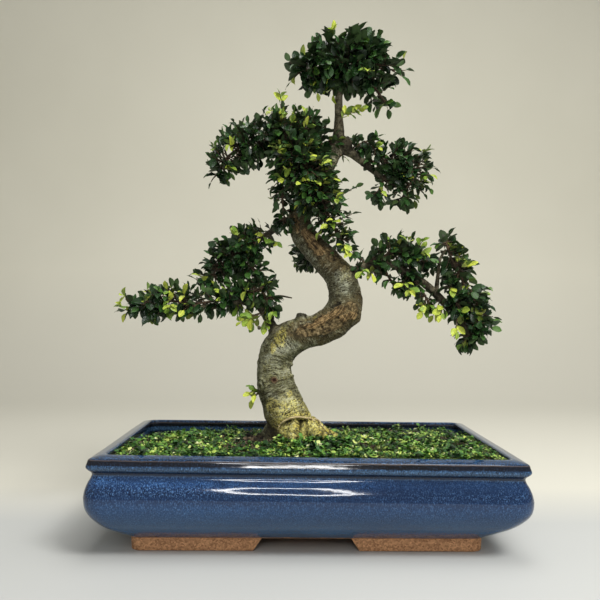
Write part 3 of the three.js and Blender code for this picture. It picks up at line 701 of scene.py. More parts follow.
def bark_masks(point):
    ragged = point + noise.noise_vector(point / 6) * 2.6 + noise.noise_vector(point / 2.4) * 0.9
    low = smoothstep(138, 104, point.z + 9 * noise.noise(point / 9)) * smoothstep(-46, -22, point.x)
    near = point + noise.noise_vector(point / 2.4) * 1.1
    knot = 1 - smoothstep(1, 9, (near - KNOT).length)
    healed = 0.65 * (1 - smoothstep(1.4, 13, (near - HEALED_KNOT).length))
    wounds = (inside_share(ragged, DEAD_WOOD), inside_share(ragged, ORANGE_WOOD), max(knot, healed))
    yellow = max(0.75 * inside_share(ragged, LICHEN), 0.95 * low)
    # Painted shade: the foot's shaded left side and the crevices are darkened, along with the stub's dark nub.
    dark = max(inside_share(ragged, SHADE_AND_DARK_NUB), inside_share(point, CREVICE))
    worn = inside_share(ragged, WEATHERED) - inside_share(ragged, PALE)
    return Vector(wounds), Vector((yellow, dark, worn))


def bark_relief(point, strip, radius, masks):
    dead, orange, knot = masks
    crevice = inside_share(point, CREVICE)
    thick = smoothstep(2.5, 14, radius)
    lumps = noise.noise(point / 15) * 1.1 + noise.noise(point / 6.5) * 0.6
    turns = Vector((strip.x / 16, strip.y / 16, strip.z / 2.5))
    wrinkles = noise.noise(turns) * 0.5
    fine = noise.noise(point / 2) * 0.2
    grooves = noise.noise(Vector((strip.x / 2.6, strip.y / 2.6, strip.z / 15)))
    torn = dead * (-0.9 + 1.3 * grooves + 1.2 * noise.noise(point / 3.2)) + 1.5 * orange
    distance = min((point - KNOT).length, (point - HEALED_KNOT).length)
    eye = knot * (1.2 * math.sin(distance * 1.25 - 1.7))
    return thick * (lumps + wrinkles) + fine + torn + eye - 1.9 * crevice


# %% Shape the bark and store its patterns
wood_bm.normal_update()
strip_layer = wood_bm.verts.layers.float_vector.new("strip")
mask_layer = wood_bm.verts.layers.float_vector.new("masks")
tint_layer = wood_bm.verts.layers.float_vector.new("tints")
girth_layer = wood_bm.verts.layers.float.new("girth")
moves = []
for vert in wood_bm.verts:
    point = vert.co / MM
    strip, radius = unrolled(point)
    masks, tints = bark_masks(point)
    vert[strip_layer] = strip * MM
    vert[mask_layer] = masks
    vert[tint_layer] = tints
    vert[girth_layer] = (radius if point.z > ROOTS_TOP else THICK) * MM
    moves.append(vert.normal * (bark_relief(point, strip, radius, masks) * MM))
for vert, move in zip(wood_bm.verts, moves):
    vert.co += move
print("largest bark move:", round(max(move.length for move in moves) * 1000, 2), "mm")

# %% [markdown]
# Thin dead twigs would fall between the voxels, so they are added as plain tubes after the remesh,
# with their roots sunk in the branch that carries them. The lip of the old graft is a tube as well.
# Its line is known from the front only, so rays find where it lies on the wood.

# %% Add the thin limbs and the graft lip
GRAFT_LIP = [
    (-28.4, 98), (-27.2, 101.5), (-25, 105), (-21.9, 107.6), (-16.8, 110), (-8.7, 111.5), (-1.6, 110.4),
    (5.4, 107.6), (11.5, 104.6), (16, 101.5), (19, 98.5),
]


def graft_lip_line():
    skin = BVHTree.FromBMesh(wood_bm)
    samples = sample_route([(x, 0, z, 1) for x, z in GRAFT_LIP], 1.5)
    line = []
    for i, (place, _) in enumerate(samples):
        hit = skin.ray_cast(Vector((place.x, -60, place.z)) * MM, Vector((0, 1, 0)))
        share = i / (len(samples) - 1)
        line.append((hit[0] / MM + hit[1] * 0.5, 0.4 + 0.7 * math.sin(math.pi * share) ** 0.5))
    return line


def add_tubes(lines, rounds, girth, lip):
    first_new = len(wood_bm.verts)
    wood_bm.from_mesh(tubes_mesh(lines, rounds, "thin_limbs"))
    wood_bm.verts.ensure_lookup_table()
    for vert in wood_bm.verts[first_new:]:
        vert[strip_layer] = vert.co
        vert[girth_layer] = girth * MM
        vert[tint_layer] = Vector((0, 0, lip))


add_tubes([graft_lip_line()], 3, THICK, -2)
add_tubes([sample_route(route, 3) for route in THIN_LIMBS], 2, 1.5, 0)

# %% [markdown]
# The bark is grey green and finely wrinkled across the limb, with rows of dark pores. Thin limbs
# are browner. The unrolled attribute feeds stretched noise for the wrinkles and a cell pattern
# for the pores, and the masks bring in dead wood, lichen, the painted shade at the foot and in the
# crevices, the dark nub, the knots and the graft's lip.


# %% Bark material
def build_bark():
    graph = Finish("Elm bark")
    place, ramp, rise, times, tint = graph.place, graph.ramp, graph.rise, graph.times, graph.tint
    strip = graph.attribute("strip", "Vector")
    dead, orange, knot = graph.split(graph.attribute("masks", "Vector"))
    lichen, shade_and_dark_nub, weathered = graph.split(graph.attribute("tints", "Vector"))
    cloud = graph.noise(place, 75, 4, 0.7)
    speck = graph.noise(place, 420, 2, 0.7)
    grey = [(0.34, (0.058, 0.058, 0.026)), (0.47, (0.145, 0.145, 0.078)), (0.56, (0.25, 0.25, 0.16))]
    base = ramp(cloud, [*grey, (0.68, (0.4, 0.405, 0.29))])
    high = rise(graph.split(place)["Z"], 0.19, 0.24)
    base = tint(base, times(high, rise(cloud, 0.75, 0.4)), 0.75, (0.08, 0.07, 0.04))
    worn = times(rise(weathered, 0, 1), rise(cloud, 0.8, 0.5))
    base = tint(base, worn, 0.85, (0.098, 0.072, 0.03))
    smooth = times(rise(weathered, 0, -1), rise(speck, 0.3, 0.55))
    base = tint(base, smooth, 0.75, (0.27, 0.285, 0.215))
    patch = times(rise(graph.noise(place, 38, 2), 0.52, 0.64), rise(speck, 0.42, 0.56))
    base = tint(base, patch, 0.5, (0.26, 0.24, 0.07))
    yellow = ramp(cloud, [(0.34, (0.3, 0.25, 0.045)), (0.5, (0.54, 0.46, 0.1)), (0.64, (0.76, 0.7, 0.22))])
    base = tint(base, times(lichen, rise(speck, 0.34, 0.5)), 0.9, yellow)
    wave = graph.plus(graph.scaled(cloud, 0.01), graph.split(strip)["Z"])
    waved = graph.add("CombineXYZ", {"Z": graph.scaled(wave, 900)}).outputs[0]
    across = graph.stretched(strip, (85, 85, 0))
    rings = graph.add("VectorMath", {0: across, 1: waved}, operation="ADD").outputs[0]
    wrinkle = graph.noise(rings, 1, 3, 0.6)
    line = times(rise(wrinkle, 0.5, 0.42), rise(cloud, 0.72, 0.52))
    base = tint(base, line, 0.88, (0.034, 0.028, 0.012))
    base = tint(base, rise(graph.noise(place, 620, 2, 0.8), 0.47, 0.38), 0.7, (0.03, 0.025, 0.012))
    base = tint(base, rise(wrinkle, 0.58, 0.7), 0.32, (0.5, 0.5, 0.36))
    cells = graph.add("TexVoronoi", {"Vector": graph.stretched(strip, (330, 330, 560)), "Scale": 1}).outputs
    chosen = graph.add("SeparateColor", {"Color": cells["Color"]}).outputs
    pore = times(rise(cells["Distance"], 0.46, 0.26), rise(chosen[0], 0.56, 0.64))
    base = tint(base, pore, 0.9, (0.02, 0.015, 0.007))
    wart = times(rise(cells["Distance"], 0.4, 0.2), rise(chosen[1], 0.66, 0.74))
    base = tint(base, wart, 0.26, (0.52, 0.53, 0.38))
    brown = ramp(cloud, [(0.38, (0.006, 0.005, 0.003)), (0.5, (0.03, 0.024, 0.015)), (0.62, (0.12, 0.102, 0.066))])
    base = tint(base, rise(graph.attribute("girth"), 0.01, 0.0062), 0.85, brown)
    fibre = graph.noise(graph.stretched(strip, (760, 760, 80)), 1, 4, 0.65)
    blotch = graph.noise(place, 230, 4, 0.7)
    dry = [(0.36, (0.018, 0.012, 0.005)), (0.46, (0.074, 0.053, 0.024)), (0.56, (0.19, 0.14, 0.066))]
    base = graph.mix(rise(dead, 0.25, 0.6), base, ramp(blotch, [*dry, (0.7, (0.44, 0.34, 0.19))]))
    torn = graph.plus(graph.scaled(fibre, 0.62), graph.scaled(blotch, 0.38))
    fresh = ramp(torn, [(0.42, (0.026, 0.016, 0.007)), (0.49, (0.13, 0.082, 0.034)), (0.57, (0.34, 0.232, 0.105))])
    base = tint(base, rise(orange, 0.15, 0.6), 0.85, fresh)
    rim = times(rise(dead, 0.06, 0.25), rise(dead, 0.6, 0.36))
    base = tint(base, rim, 0.55, (0.028, 0.021, 0.011))
    bands = times(rise(graph.math("SINE", graph.scaled(knot, 21)), 0.2, 0.9), rise(knot, 0.05, 0.2))
    base = tint(base, bands, 0.85, (0.036, 0.03, 0.013))
    base = tint(base, rise(knot, 0.66, 0.8), 0.8, (0.105, 0.062, 0.034))
    base = graph.mix(rise(knot, 0.92, 0.98), base, (0.018, 0.005, 0.003))
    lip = times(rise(weathered, -1.3, -1.9), rise(speck, 0.2, 0.5))
    base = tint(base, lip, 0.9, (0.52, 0.42, 0.215))
    # Painted shade darkens the foot's shaded left side and the crevices; the same mask darkens the stub's nub.
    base = tint(base, shade_and_dark_nub, 0.9, (0.016, 0.014, 0.009))
    ridges = graph.plus(wrinkle, times(fibre, times(dead, 1.4)))
    ridges = graph.math("SUBTRACT", ridges, times(pore, 0.5))
    return graph.close(base, 0.78, ridges, 1, 0.0013, 0.3)


BARK = build_bark()
finish_piece("elm_wood", mesh_of(wood_bm, "elm_wood"), [BARK], ["trunk"])

# %% [markdown]
# ## Leaves
# An elm leaf is a small pointed oval, folded a little along its rib and arched back at its tip. One
# leaf is shaped from a flat grid, and thousands of copies are set on twigs. Instances would be
# lighter, but the export drops them, so each head is one real mesh of leaves and twigs.

# %% One leaf
LEAF_ROWS = 6


def face_up(bm):
    bmesh.ops.recalc_face_normals(bm, faces=bm.faces)
    if sum(face.normal.z for face in bm.faces) < 0:
        bmesh.ops.reverse_faces(bm, faces=bm.faces)


def add_leaf(bm, form, place, size, tone):
    form = form.copy()
    form.transform(place @ Matrix.Diagonal((size * MM, size * MM, size * MM, 1)))
    form.attributes["tone"].data.foreach_set("value", [tone] * len(form.vertices))
    bm.from_mesh(form)
    bpy.data.meshes.remove(form)


def build_leaf(name, half_width, point, fold, arch):
    bm = bmesh.new()
    uv_layer = bm.loops.layers.uv.new("leaf")
    bm.verts.layers.float.new("tone")
    bmesh.ops.create_grid(bm, x_segments=LEAF_ROWS, y_segments=2, size=0.5)
    for vert in bm.verts:
        along, across = 0.5 - 0.5 * math.cos(math.pi * (vert.co.x + 0.5)), vert.co.y * 2
        belly = math.sin(math.pi * min(along, 0.999) ** 1.12) ** point
        width = half_width * max(belly, 0.05)
        lift = fold * abs(across) * belly - arch * along**2 + 0.03 * math.sin(along * 9 + across * 2)
        vert.co = Vector((along, across * width, lift))
    for face in bm.faces:
        for loop in face.loops:
            place = loop.vert.co
            loop[uv_layer].uv = (place.x, 0.5 + place.y)
    bmesh.ops.remove_doubles(bm, verts=bm.verts, dist=0.012)
    face_up(bm)
    return mesh_of(bm, name)


LEAF_FORMS = [
    build_leaf("round_leaf", 0.34, 0.62, 0.1, 0.14), build_leaf("long_leaf", 0.27, 0.76, 0.14, 0.24),
    build_leaf("flat_leaf", 0.31, 0.66, 0.05, 0.08), build_leaf("folded_leaf", 0.25, 0.72, 0.26, 0.18),
]
print("one leaf:", len(LEAF_FORMS[0].polygons), "faces")

# %% [markdown]
# Old leaves are dark and glossy, new ones at the shoot tips yellow green. Each leaf carries one
# number, its tone, from dark to new. The rib and side veins are drawn on the leaf's own UV map,
# and the underside is paler and dull.


# %% Leaf and twig materials
def build_leaf_material():
    graph = Finish("Elm leaf")
    times = graph.times
    stops = [(0, (0.0045, 0.013, 0.005)), (0.22, (0.013, 0.04, 0.011)), (0.45, (0.038, 0.1, 0.018))]
    color = graph.ramp(graph.attribute("tone"), [*stops, (0.68, (0.145, 0.25, 0.032)), (1, (0.46, 0.52, 0.07))])
    flat = graph.split(graph.add("UVMap", uv_map="leaf").outputs["UV"])
    off_rib = graph.math("ABSOLUTE", graph.math("SUBTRACT", flat["Y"], 0.5))
    slanted = graph.plus(graph.scaled(off_rib, -1.1), flat["X"])
    veins = graph.rise(graph.math("SINE", times(slanted, 52)), 0.8, 1)
    line = graph.math("MAXIMUM", graph.rise(off_rib, 0.035, 0.008), times(veins, 0.35))
    paler = graph.mix(1, color, (1.9, 1.75, 1.5), "MULTIPLY")
    color = graph.tint(color, line, 0.7, paler)
    mottle = graph.rise(graph.noise(graph.place, 500, 2), 0.6, 0.35)
    color = graph.tint(color, mottle, 0.3, (0.006, 0.012, 0.005))
    under = graph.add("NewGeometry").outputs["Backfacing"]
    color = graph.mix(under, color, graph.mix(0.4, color, (0.08, 0.125, 0.045)))
    rough = graph.mix(under, (0.27, 0.27, 0.27), (0.62, 0.62, 0.62))
    return graph.close(color, rough, graph.math("SUBTRACT", 1, line), 0.35, 0.0004)


def build_twig_material():
    graph = Finish("Twig bark")
    cloud = graph.noise(graph.place, 300)
    color = graph.ramp(cloud, [(0.3, (0.022, 0.014, 0.008)), (0.75, (0.11, 0.07, 0.038))])
    return graph.close(color, 0.75, cloud, 0.4, 0.0004)


LEAF = build_leaf_material()
TWIG = build_twig_material()

# %% [markdown]
# ## Leafy heads
# Each head is a thick cloud of leaves round one or more boughs. A bough's route gives the cloud
# its middle line and its radius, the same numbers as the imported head. From the middle line twigs
# run out on every side to just past the radius, and leaves sit on their outer part, turned to the
# light. The tips are the shoots that stand out furthest, and the fresh spots carry young leaves.

# %% Boughs of the heads
HEADS = {
    "apex_head": {
        "leaves": 820, "leaf_share": 1.14, "young": 0.02,
        "boughs": [
            [(-6, -10, 469, 9), (14, -10, 473, 21), (42, -13, 479, 28), (70, -10, 473, 24), (92, -8, 471, 10)],
            [(66, -8, 458, 15), (76, -6, 446, 12), (82, -5, 437, 5)],
        ],
        "fresh": [(59, -47, 456), (25, -23, 506)],
        "tips": [
            (-26, -12, 484), (46, -16, 517), (106, -8, 490), (76, -6, 430), (3, -12, 441), (12, -14, 436),
            (29, -16, 434), (-22, -12, 452), (22, -14, 446),
        ],
    },
    "crown": {
        "leaves": 2650, "leaf_share": 0.88, "young": 0.1,
        "boughs": [
            [
                (-92, -5, 362, 7), (-86, -5, 376, 15), (-65, -6, 392, 20), (-34, -6, 403, 22),
                (-2, -6, 402, 22), (20, -8, 390, 13),
            ],
            [
                (-24, -18, 394, 12), (-8, -23, 371, 25), (6, -23, 346, 23), (20, -20, 322, 16),
                (30, -17, 300, 12.5), (42, -13, 281, 8),
            ],
            [(-20, -14, 372, 12), (-25, -12, 350, 12), (-25, -9, 330, 9), (-23, -6, 312, 6)],
            [(-26, 20, 406, 12), (-8, 27, 390, 25), (8, 25, 364, 20), (16, 21, 344, 8)],
        ],
        "fresh": [
            (-23, -39, 414), (-14, -39, 407), (1, -39, 404), (-3, -35, 419), (-28, -21, 439), (-36, -33, 421),
            (-31, -43, 378), (-19, -43, 380), (-28, -35, 352), (3, -43, 384), (16, -55, 362), (30, -49, 328),
            (39, -29, 420), (20, -43, 302), (26, -41, 307), (37, -39, 282), (42, -37, 276), (-95, -31, 383),
            (35, -35, 294),
        ],
        "tips": [
            (-103, -6, 380), (-80, -5, 349), (-29, -6, 444), (54, -12, 322), (-43, -10, 336), (50, -12, 300),
            (24, -26, 288), (-1, -24, 302), (25, -8, 420), (48, -8, 374), (-106, -6, 346), (58, -8, 352),
        ],
    },
    "right_upper_pad": {
        "leaves": 500, "leaf_share": 0.94, "young": 0.06,
        "boughs": [
            [
                (72, 0, 377, 6), (87, 1, 378, 14), (107, 3, 376, 18), (114, 4, 363, 17), (105, 3, 347, 14),
                (99, 2, 335, 6),
            ],
            [(52, -4, 391, 4), (62, -3, 395, 7), (72, -1, 388, 6)],
            [(82, 0, 362, 4), (78, -1, 351, 7), (75, -2, 342, 5)],
        ],
        "fresh": [(120, -23, 382), (76, -25, 340)],
        "tips": [(140, 5, 364), (104, 2, 325), (60, 0, 402), (134, 3, 388)],
    },
    "left_middle_pad": {
        "leaves": 600, "leaf_share": 0.9, "young": 0.06,
        "boughs": [
            [(-42, 8, 301, 7), (-58, 8, 291, 16), (-80, 10, 277, 17), (-96, 10, 262, 14), (-103, 9, 249, 6)],
            [(-76, 8, 278, 10), (-62, 7, 267, 13), (-49, 6, 259, 6)],
        ],
        "fresh": [(-73, -19, 299), (-110, -17, 254), (-33, -13, 288)],
        "tips": [(-30, 6, 286), (-122, 9, 262), (-72, 8, 314), (-126, 9, 254)],
    },
    "left_lower_pad": {
        "leaves": 540, "leaf_share": 1.0, "young": 0.14,
        "boughs": [
            [
                (-44, -6, 243, 6), (-62, -8, 237, 13), (-92, -11, 229, 12), (-114, -12, 226, 9),
                (-138, -12, 228, 13), (-160, -12, 226, 14), (-178, -12, 222, 6),
            ],
            [(-46, -8, 238, 6), (-39, -9, 229, 7), (-36, -9, 222, 4)],
        ],
        "fresh": [
            (-123, -35, 235), (-134, -37, 222), (-161, -31, 228), (-182, -35, 233), (-185, -33, 222),
            (-61, -31, 238), (-33, -27, 217), (-59, -29, 208),
        ],
        "tips": [(-195, -12, 215), (-190, -12, 236), (-155, -12, 204), (-128, -12, 206), (-38, -10, 238)],
    },
    "right_inner_pad": {
        "leaves": 420, "leaf_share": 0.98, "young": 0.08,
        "boughs": [
            [(56, -8, 267, 6), (72, -9, 273, 10), (94, -10, 279, 14), (112, -10, 276, 13), (124, -11, 268, 6)],
            [(110, -10, 272, 9), (105, -12, 258, 8), (100, -12, 246, 5)],
            [(76, -10, 263, 5), (84, -11, 255, 7), (88, -12, 247, 4)],
            [(112, -13, 248, 4), (120, -14, 237, 7), (124, -15, 229, 5)],
        ],
        "fresh": [
            (56, -29, 257), (63, -29, 254), (96, -35, 245), (103, -33, 239), (115, -33, 288), (102, -31, 289),
            (114, -37, 223),
        ],
        "tips": [(82, -10, 299), (122, -10, 289), (122, -12, 228), (95, -10, 236)],
    },
    "right_outer_pad": {
        "leaves": 490, "leaf_share": 1.02, "young": 0.09,
        "boughs": [
            [
                (144, -14, 287, 5), (148, -14, 274, 12), (158, -14, 254, 14), (168, -13, 230, 16),
                (172, -13, 206, 15), (164, -13, 191, 7),
            ],
            [(146, -22, 240, 4), (150, -21, 232, 6), (154, -21, 222, 4)],
        ],
        "fresh": [(153, -37, 219), (160, -37, 264), (148, -37, 199)],
        "tips": [(200, -14, 209), (141, -14, 298), (190, -13, 240), (160, -14, 178)],
    },
    "rear_pad": {
        "leaves": 220, "leaf_share": 1.05, "young": 0.05,
        "boughs": [
            [(10, 55, 287, 6), (7, 66, 289, 12), (3, 82, 286, 13), (-2, 97, 282, 6)],
        ],
        "fresh": [],
        "tips": [(-14, 100, 272), (2, 98, 265), (20, 88, 300)],
    },
}
SHOOTS = {
    "left_shoot": {"at": (-44, -2, 217), "tips": [(-73, -14, 204), (-40, -24, 196), (-60, 8, 200)]},
    "right_shoot": {"at": (138, -13, 231), "tips": [(112, -20, 214), (132, -37, 210), (128, -8, 208)]},
    "trunk_sprout": {
        "at": (-48, 0, 134), "tips": [(-59, -8, 142), (-58, -10, 123), (-63, -8, 134), (-56, -14, 130)],
    },
    "leader_shoot": {"at": (33, -8, 421), "tips": [(62, -14, 431), (56, -18, 424)]},
}


# %% [markdown]
# A twig bends a little on its way, and its leaves sit left and right in turn. Each leaf points
# half forward and half sideways, and its face looks outward and up. The nearer to the tip, the
# newer the leaf. Some twigs, and a short dense one at every fresh spot, end in yellow green.


# %% Grow twigs and set leaves
LEAF_LENGTHS = (9.5, 14.5)
OLD_TONES = (0, 0.22)
YOUNG_TONES = (0.6, 1)
TWIG_STEPS = 5


def wobble(draw, spread):
    return Vector([draw.gauss(0, spread) for _ in range(3)])


def bent(start, middle, end, share):
    return start * (1 - share) ** 2 + middle * 2 * share * (1 - share) + end * share**2


class Spray:
    def __init__(self, seed, leaf_share=1):
        self.draw = random.Random(seed)
        self.leaf_share = leaf_share
        self.lines = []
        self.leaves = bmesh.new()
        self.count = 0

    def leaf(self, root, toward, face, size, tone):
        toward = toward.normalized()
        across = face.cross(toward).normalized()
        if across.length < 0.5:
            across = toward.orthogonal().normalized()
        turn = Matrix((toward, across, toward.cross(across))).transposed().to_4x4()
        form = self.draw.choice(LEAF_FORMS)
        add_leaf(self.leaves, form, Matrix.Translation(root * MM) @ turn, size, tone)
        self.count += 1

    def twig(self, start, end, outward, bare, radius, pitch=4.6, young=False):
        draw = self.draw
        span = end - start
        middle = start.lerp(end, 0.55) + wobble(draw, 1) * span.length * 0.07 + UP * span.length * 0.04
        shares = [i / TWIG_STEPS for i in range(TWIG_STEPS + 1)]
        self.lines.append([(bent(start, middle, end, share), radius * (1 - 0.55 * share)) for share in shares])
        spin = outward.cross(span).normalized()
        if spin.length < 0.5:
            spin = span.orthogonal().normalized()
        spin.rotate(Matrix.Rotation(draw.uniform(-0.9, 0.9), 3, span))
        count = max(1, int(span.length * (1 - bare) / pitch))
        side = draw.choice((-1, 1))
        for i in range(count + 1):
            share = bare + (1 - bare) * i / count
            heading = ((middle - start) * (1 - share) + (end - middle) * share).normalized()
            side = -side
            lean = 0.15 if i == count else draw.uniform(0.75, 1.15)
            toward = heading + spin * side * lean + wobble(draw, 0.2)
            face = outward * 0.75 + UP * 0.55 + wobble(draw, 0.42)
            size = draw.uniform(*LEAF_LENGTHS) * (0.82 if share > 0.8 else 1) * self.leaf_share
            tone = draw.uniform(*OLD_TONES) + 0.34 * smoothstep(bare, 1, share) * draw.random()
            if young and share > 0.3:
                tone = draw.uniform(*YOUNG_TONES)
                size *= 0.92
            self.leaf(bent(start, middle, end, share), toward, face, size, tone)

    def mesh(self, name):
        bm = self.leaves
        before = len(bm.faces)
        bm.from_mesh(tubes_mesh(self.lines, 0, name + "_twigs"))
        bm.faces.ensure_lookup_table()
        for face in bm.faces[before:]:
            face.material_index = 1
        return mesh_of(bm, name)


def bough_places(boughs):
    places = []
    for bough in boughs:
        samples = sample_route(bough, 3)
        for i, (place, radius) in enumerate(samples):
            ahead = samples[min(i + 1, len(samples) - 1)][0] - samples[max(i - 1, 0)][0]
            end = -1 if i == 0 else 1 if i == len(samples) - 1 else 0
            places.append((place, radius, ahead.normalized(), end))
    return places


def nearest(places, point):
    return min(places, key=lambda entry: (entry[0] - point).length)


def grow_head(name, head, seed):
    spray = Spray(seed, head["leaf_share"])
    draw = spray.draw
    places = bough_places(head["boughs"])
    weights = [radius**1.5 + (60 if end else 0) for _, radius, _, end in places]
    for bough in head["boughs"]:
        line = sample_route(bough, 6)
        spray.lines.append([(place, 1.5 - 0.6 * i / len(line)) for i, (place, _) in enumerate(line)])
    for tip in head["tips"]:
        tip = Vector(tip)
        near = nearest(places, tip)
        out = (tip - near[0]).normalized()
        spray.twig(near[0], tip - out * 9, out, 0.3, 0.95, young=draw.random() < 0.4)
    for spot in head["fresh"]:
        spot = Vector(spot)
        near = nearest(places, spot)
        out = Vector((draw.gauss(0, 0.3), -0.8, 0.5))
        spray.twig(near[0].lerp(spot, 0.5), spot, out, 0.6, 0.6, pitch=2, young=True)
    while spray.count < head["leaves"]:
        place, radius, ahead, end = draw.choices(places, weights)[0]
        out = wobble(draw, 1).normalized()
        out = out - ahead * out.dot(ahead) * (0.55 if not end else 0)
        if end and out.dot(ahead) * end < 0:
            out = out - ahead * 2 * out.dot(ahead)
        out.normalize()
        reach = radius * (1 + 0.2 * abs(out.y)) * draw.uniform(0.72, 1.08) + draw.uniform(-3, 4)
        tip = place + out * max(reach, 7)
        start = place + out * reach * 0.12 - ahead * draw.uniform(0, 5)
        young = draw.random() < head["young"] and reach > radius * 0.85
        spray.twig(start, tip, out, 0.32, 0.75, young=young)
    return spray.mesh(name)


# %% Build every head
for number, (name, head) in enumerate(HEADS.items()):
    mesh = grow_head(name + "_leaves", head, 11 + number)
    finish_piece(name + "_leaves", mesh, [LEAF, TWIG], [name])

# %% [markdown]
# Small shoots break from old wood where light reaches it. They are grown in the same way, from one
# bud, and are younger and brighter than the heads.


# %% Build the shoots
def grow_shoot(name, shoot, seed):
    spray = Spray(seed)
    root = Vector(shoot["at"])
    for tip in shoot["tips"]:
        tip = Vector(tip)
        out = (tip - root).normalized()
        face = (Vector((0, -0.8, 0.3)) + out).normalized()
        spray.twig(root, tip - out * 7, face, 0.45, 0.8, pitch=3.2, young=True)
    return spray.mesh(name)


for number, (name, shoot) in enumerate(SHOOTS.items()):
    mesh = grow_shoot(name + "_leaves", shoot, 41 + number)
    finish_piece(name + "_leaves", mesh, [LEAF, TWIG], [name])

# %% [markdown]
# ## Ground
# Moss and tiny creeping weeds cover the soil, except on the bare, dark patch left of the trunk. The
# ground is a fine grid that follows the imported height, lumpy with small cushions of moss, closed
# below by a skirt. One mask, kept on its points, says how much moss covers each place.

# %% Heights of the ground
GROUND_HALF = (177.6, 105.1)
GROUND_BASE = 72.9
BARE_CENTRE = (-44, 2)
BARE_HALF = (27, 46)
LITTER_SPOTS = [(-66, -46, 26, 24), (42, -22, 13, 16), (-112, 30, 12, 10)]
LUSH_SPOTS = [(18, -50, 27, 26)]
BRIGHTEST = 1.3
WEED_COUNT = 6000
CRUMB_COUNT = 1400
GOLDEN_TURN = 2.4
FULL_TURN = 6.28
LIME_SPOTS = [(111, 27, 10, 10), (108, -76, 10, 12), (67, -34, 8, 8), (-97, -58, 14, 9), (-130, -20, 10, 10)]


def soil_height(x, y):
    back = smoothstep(-20, 105, y)
    left = smoothstep(0, 120, -x)
    mound = 3 * math.exp(-((x + 8) ** 2 + (y + 4) ** 2) / 45**2)
    waves = 0.7 * math.sin(x / 17 + 1) * math.cos(y / 13)
    return 83.6 - back * (7 + 4 * left) + mound + waves


def moss_cover(x, y):
    off = math.hypot((x - BARE_CENTRE[0]) / BARE_HALF[0], (y - BARE_CENTRE[1]) / BARE_HALF[1])
    return smoothstep(0.72, 1.2, off + 0.22 * noise.noise(Vector((x, y, 0)) / 9))


def spot_share(spots, x, y):
    shares = [math.exp(-(((x - px) / wide) ** 2) - ((y - py) / deep) ** 2) for px, py, wide, deep in spots]
    return max(shares)


def ground_height(x, y):
    cover = moss_cover(x, y)
    place = Vector((x, y, 5))
    cushions = 1.5 * noise.noise(place / 11) + 0.8 * noise.noise(place / 4.5) + 0.35 * noise.noise(place / 2)
    crumbs = 0.9 * noise.noise(place / 3.2) + 0.45 * noise.noise(place / 1.5)
    gap = 2.5 * smoothstep(152, 174, abs(x))
    return soil_height(x, y) - gap + cover * (3.2 + cushions) + (1 - cover) * (0.9 + crumbs)


# %% Ground mesh
def build_ground():
    bm = bmesh.new()
    cover_layer = bm.verts.layers.float.new("cover")
    litter_layer = bm.verts.layers.float.new("litter")
    bmesh.ops.create_grid(bm, x_segments=200, y_segments=120, size=0.5)
    for vert in bm.verts:
        x, y = vert.co.x * 2 * GROUND_HALF[0], vert.co.y * 2 * GROUND_HALF[1]
        vert.co = Vector((leaned(x, y), y, ground_height(x, y))) * MM
        vert[cover_layer] = moss_cover(x, y)
        vert[litter_layer] = spot_share(LITTER_SPOTS, x, y) + 0.5 * noise.noise(Vector((x, y, 20)) / 14)
    rim = [edge for edge in bm.edges if edge.is_boundary]
    skirt = bmesh.ops.extrude_edge_only(bm, edges=rim)["geom"]
    for vert in (item for item in skirt if isinstance(item, bmesh.types.BMVert)):
        vert.co.z = GROUND_BASE * MM
    lower = [item for item in skirt if isinstance(item, bmesh.types.BMEdge) and item.is_boundary]
    bmesh.ops.contextual_create(bm, geom=lower)
    bmesh.ops.recalc_face_normals(bm, faces=bm.faces)
    return bm


def build_ground_material():
    graph = Finish("Moss and crumbs")
    ramp, cover = graph.ramp, graph.attribute("cover")
    fuzz = graph.noise(graph.place, 620, 3, 0.7)
    # Painted shade: the moss and litter colours fall to near black where the fuzz noise is low, the same noise
    # that makes the hollows of the bump.
    moss = ramp(fuzz, [(0.42, (0.001, 0.003, 0.001)), (0.52, (0.018, 0.036, 0.006)), (0.64, (0.2, 0.27, 0.045))])
    litter = ramp(fuzz, [(0.4, (0.004, 0.003, 0.002)), (0.55, (0.08, 0.05, 0.025)), (0.66, (0.42, 0.34, 0.19))])
    moss = graph.mix(graph.rise(graph.attribute("litter"), 0.22, 0.45), moss, litter)
    mask, height = grain(graph, 420)
    soil = ramp(mask, [(0.15, (0.004, 0.003, 0.003)), (0.5, (0.014, 0.01, 0.007)), (0.85, (0.07, 0.055, 0.038))])
    return graph.close(graph.mix(cover, soil, moss), 0.9, graph.mix(cover, height, fuzz), 0.8, 0.0012)


MOSS = build_ground_material()
finish_piece("moss_ground", mesh_of(build_ground(), "moss_ground"), [MOSS], ["moss_mat"])

# %% [markdown]
# The weeds are creeping plants with round leaves of two to five millimetres, larger and taller
# in front of the roots. Each is a rosette: a few leaves round one point, at several heights. A leaf
# is a six sided dish of a few faces, because thousands of them stand on the moss.


# %% Weed leaves
def build_weed_leaf():
    bm = bmesh.new()
    bm.verts.layers.float.new("tone")
    ring = bmesh.ops.create_circle(bm, cap_ends=True, cap_tris=True, segments=6, radius=0.5)["verts"]
    for vert in bm.verts:
        reach = Vector((vert.co.x, vert.co.y)).length
        vert.co = Vector((vert.co.x + 0.5, vert.co.y * 0.86, -0.5 * reach**2 + 0.06))
    face_up(bm)
    print("weed leaf:", len(ring), "corners")
    return mesh_of(bm, "weed_leaf")


def in_trunk(x, y):
    return math.hypot(x + 12, y - 1) < 25 or (abs(y + 15) < 6 and 0 < x < 36)


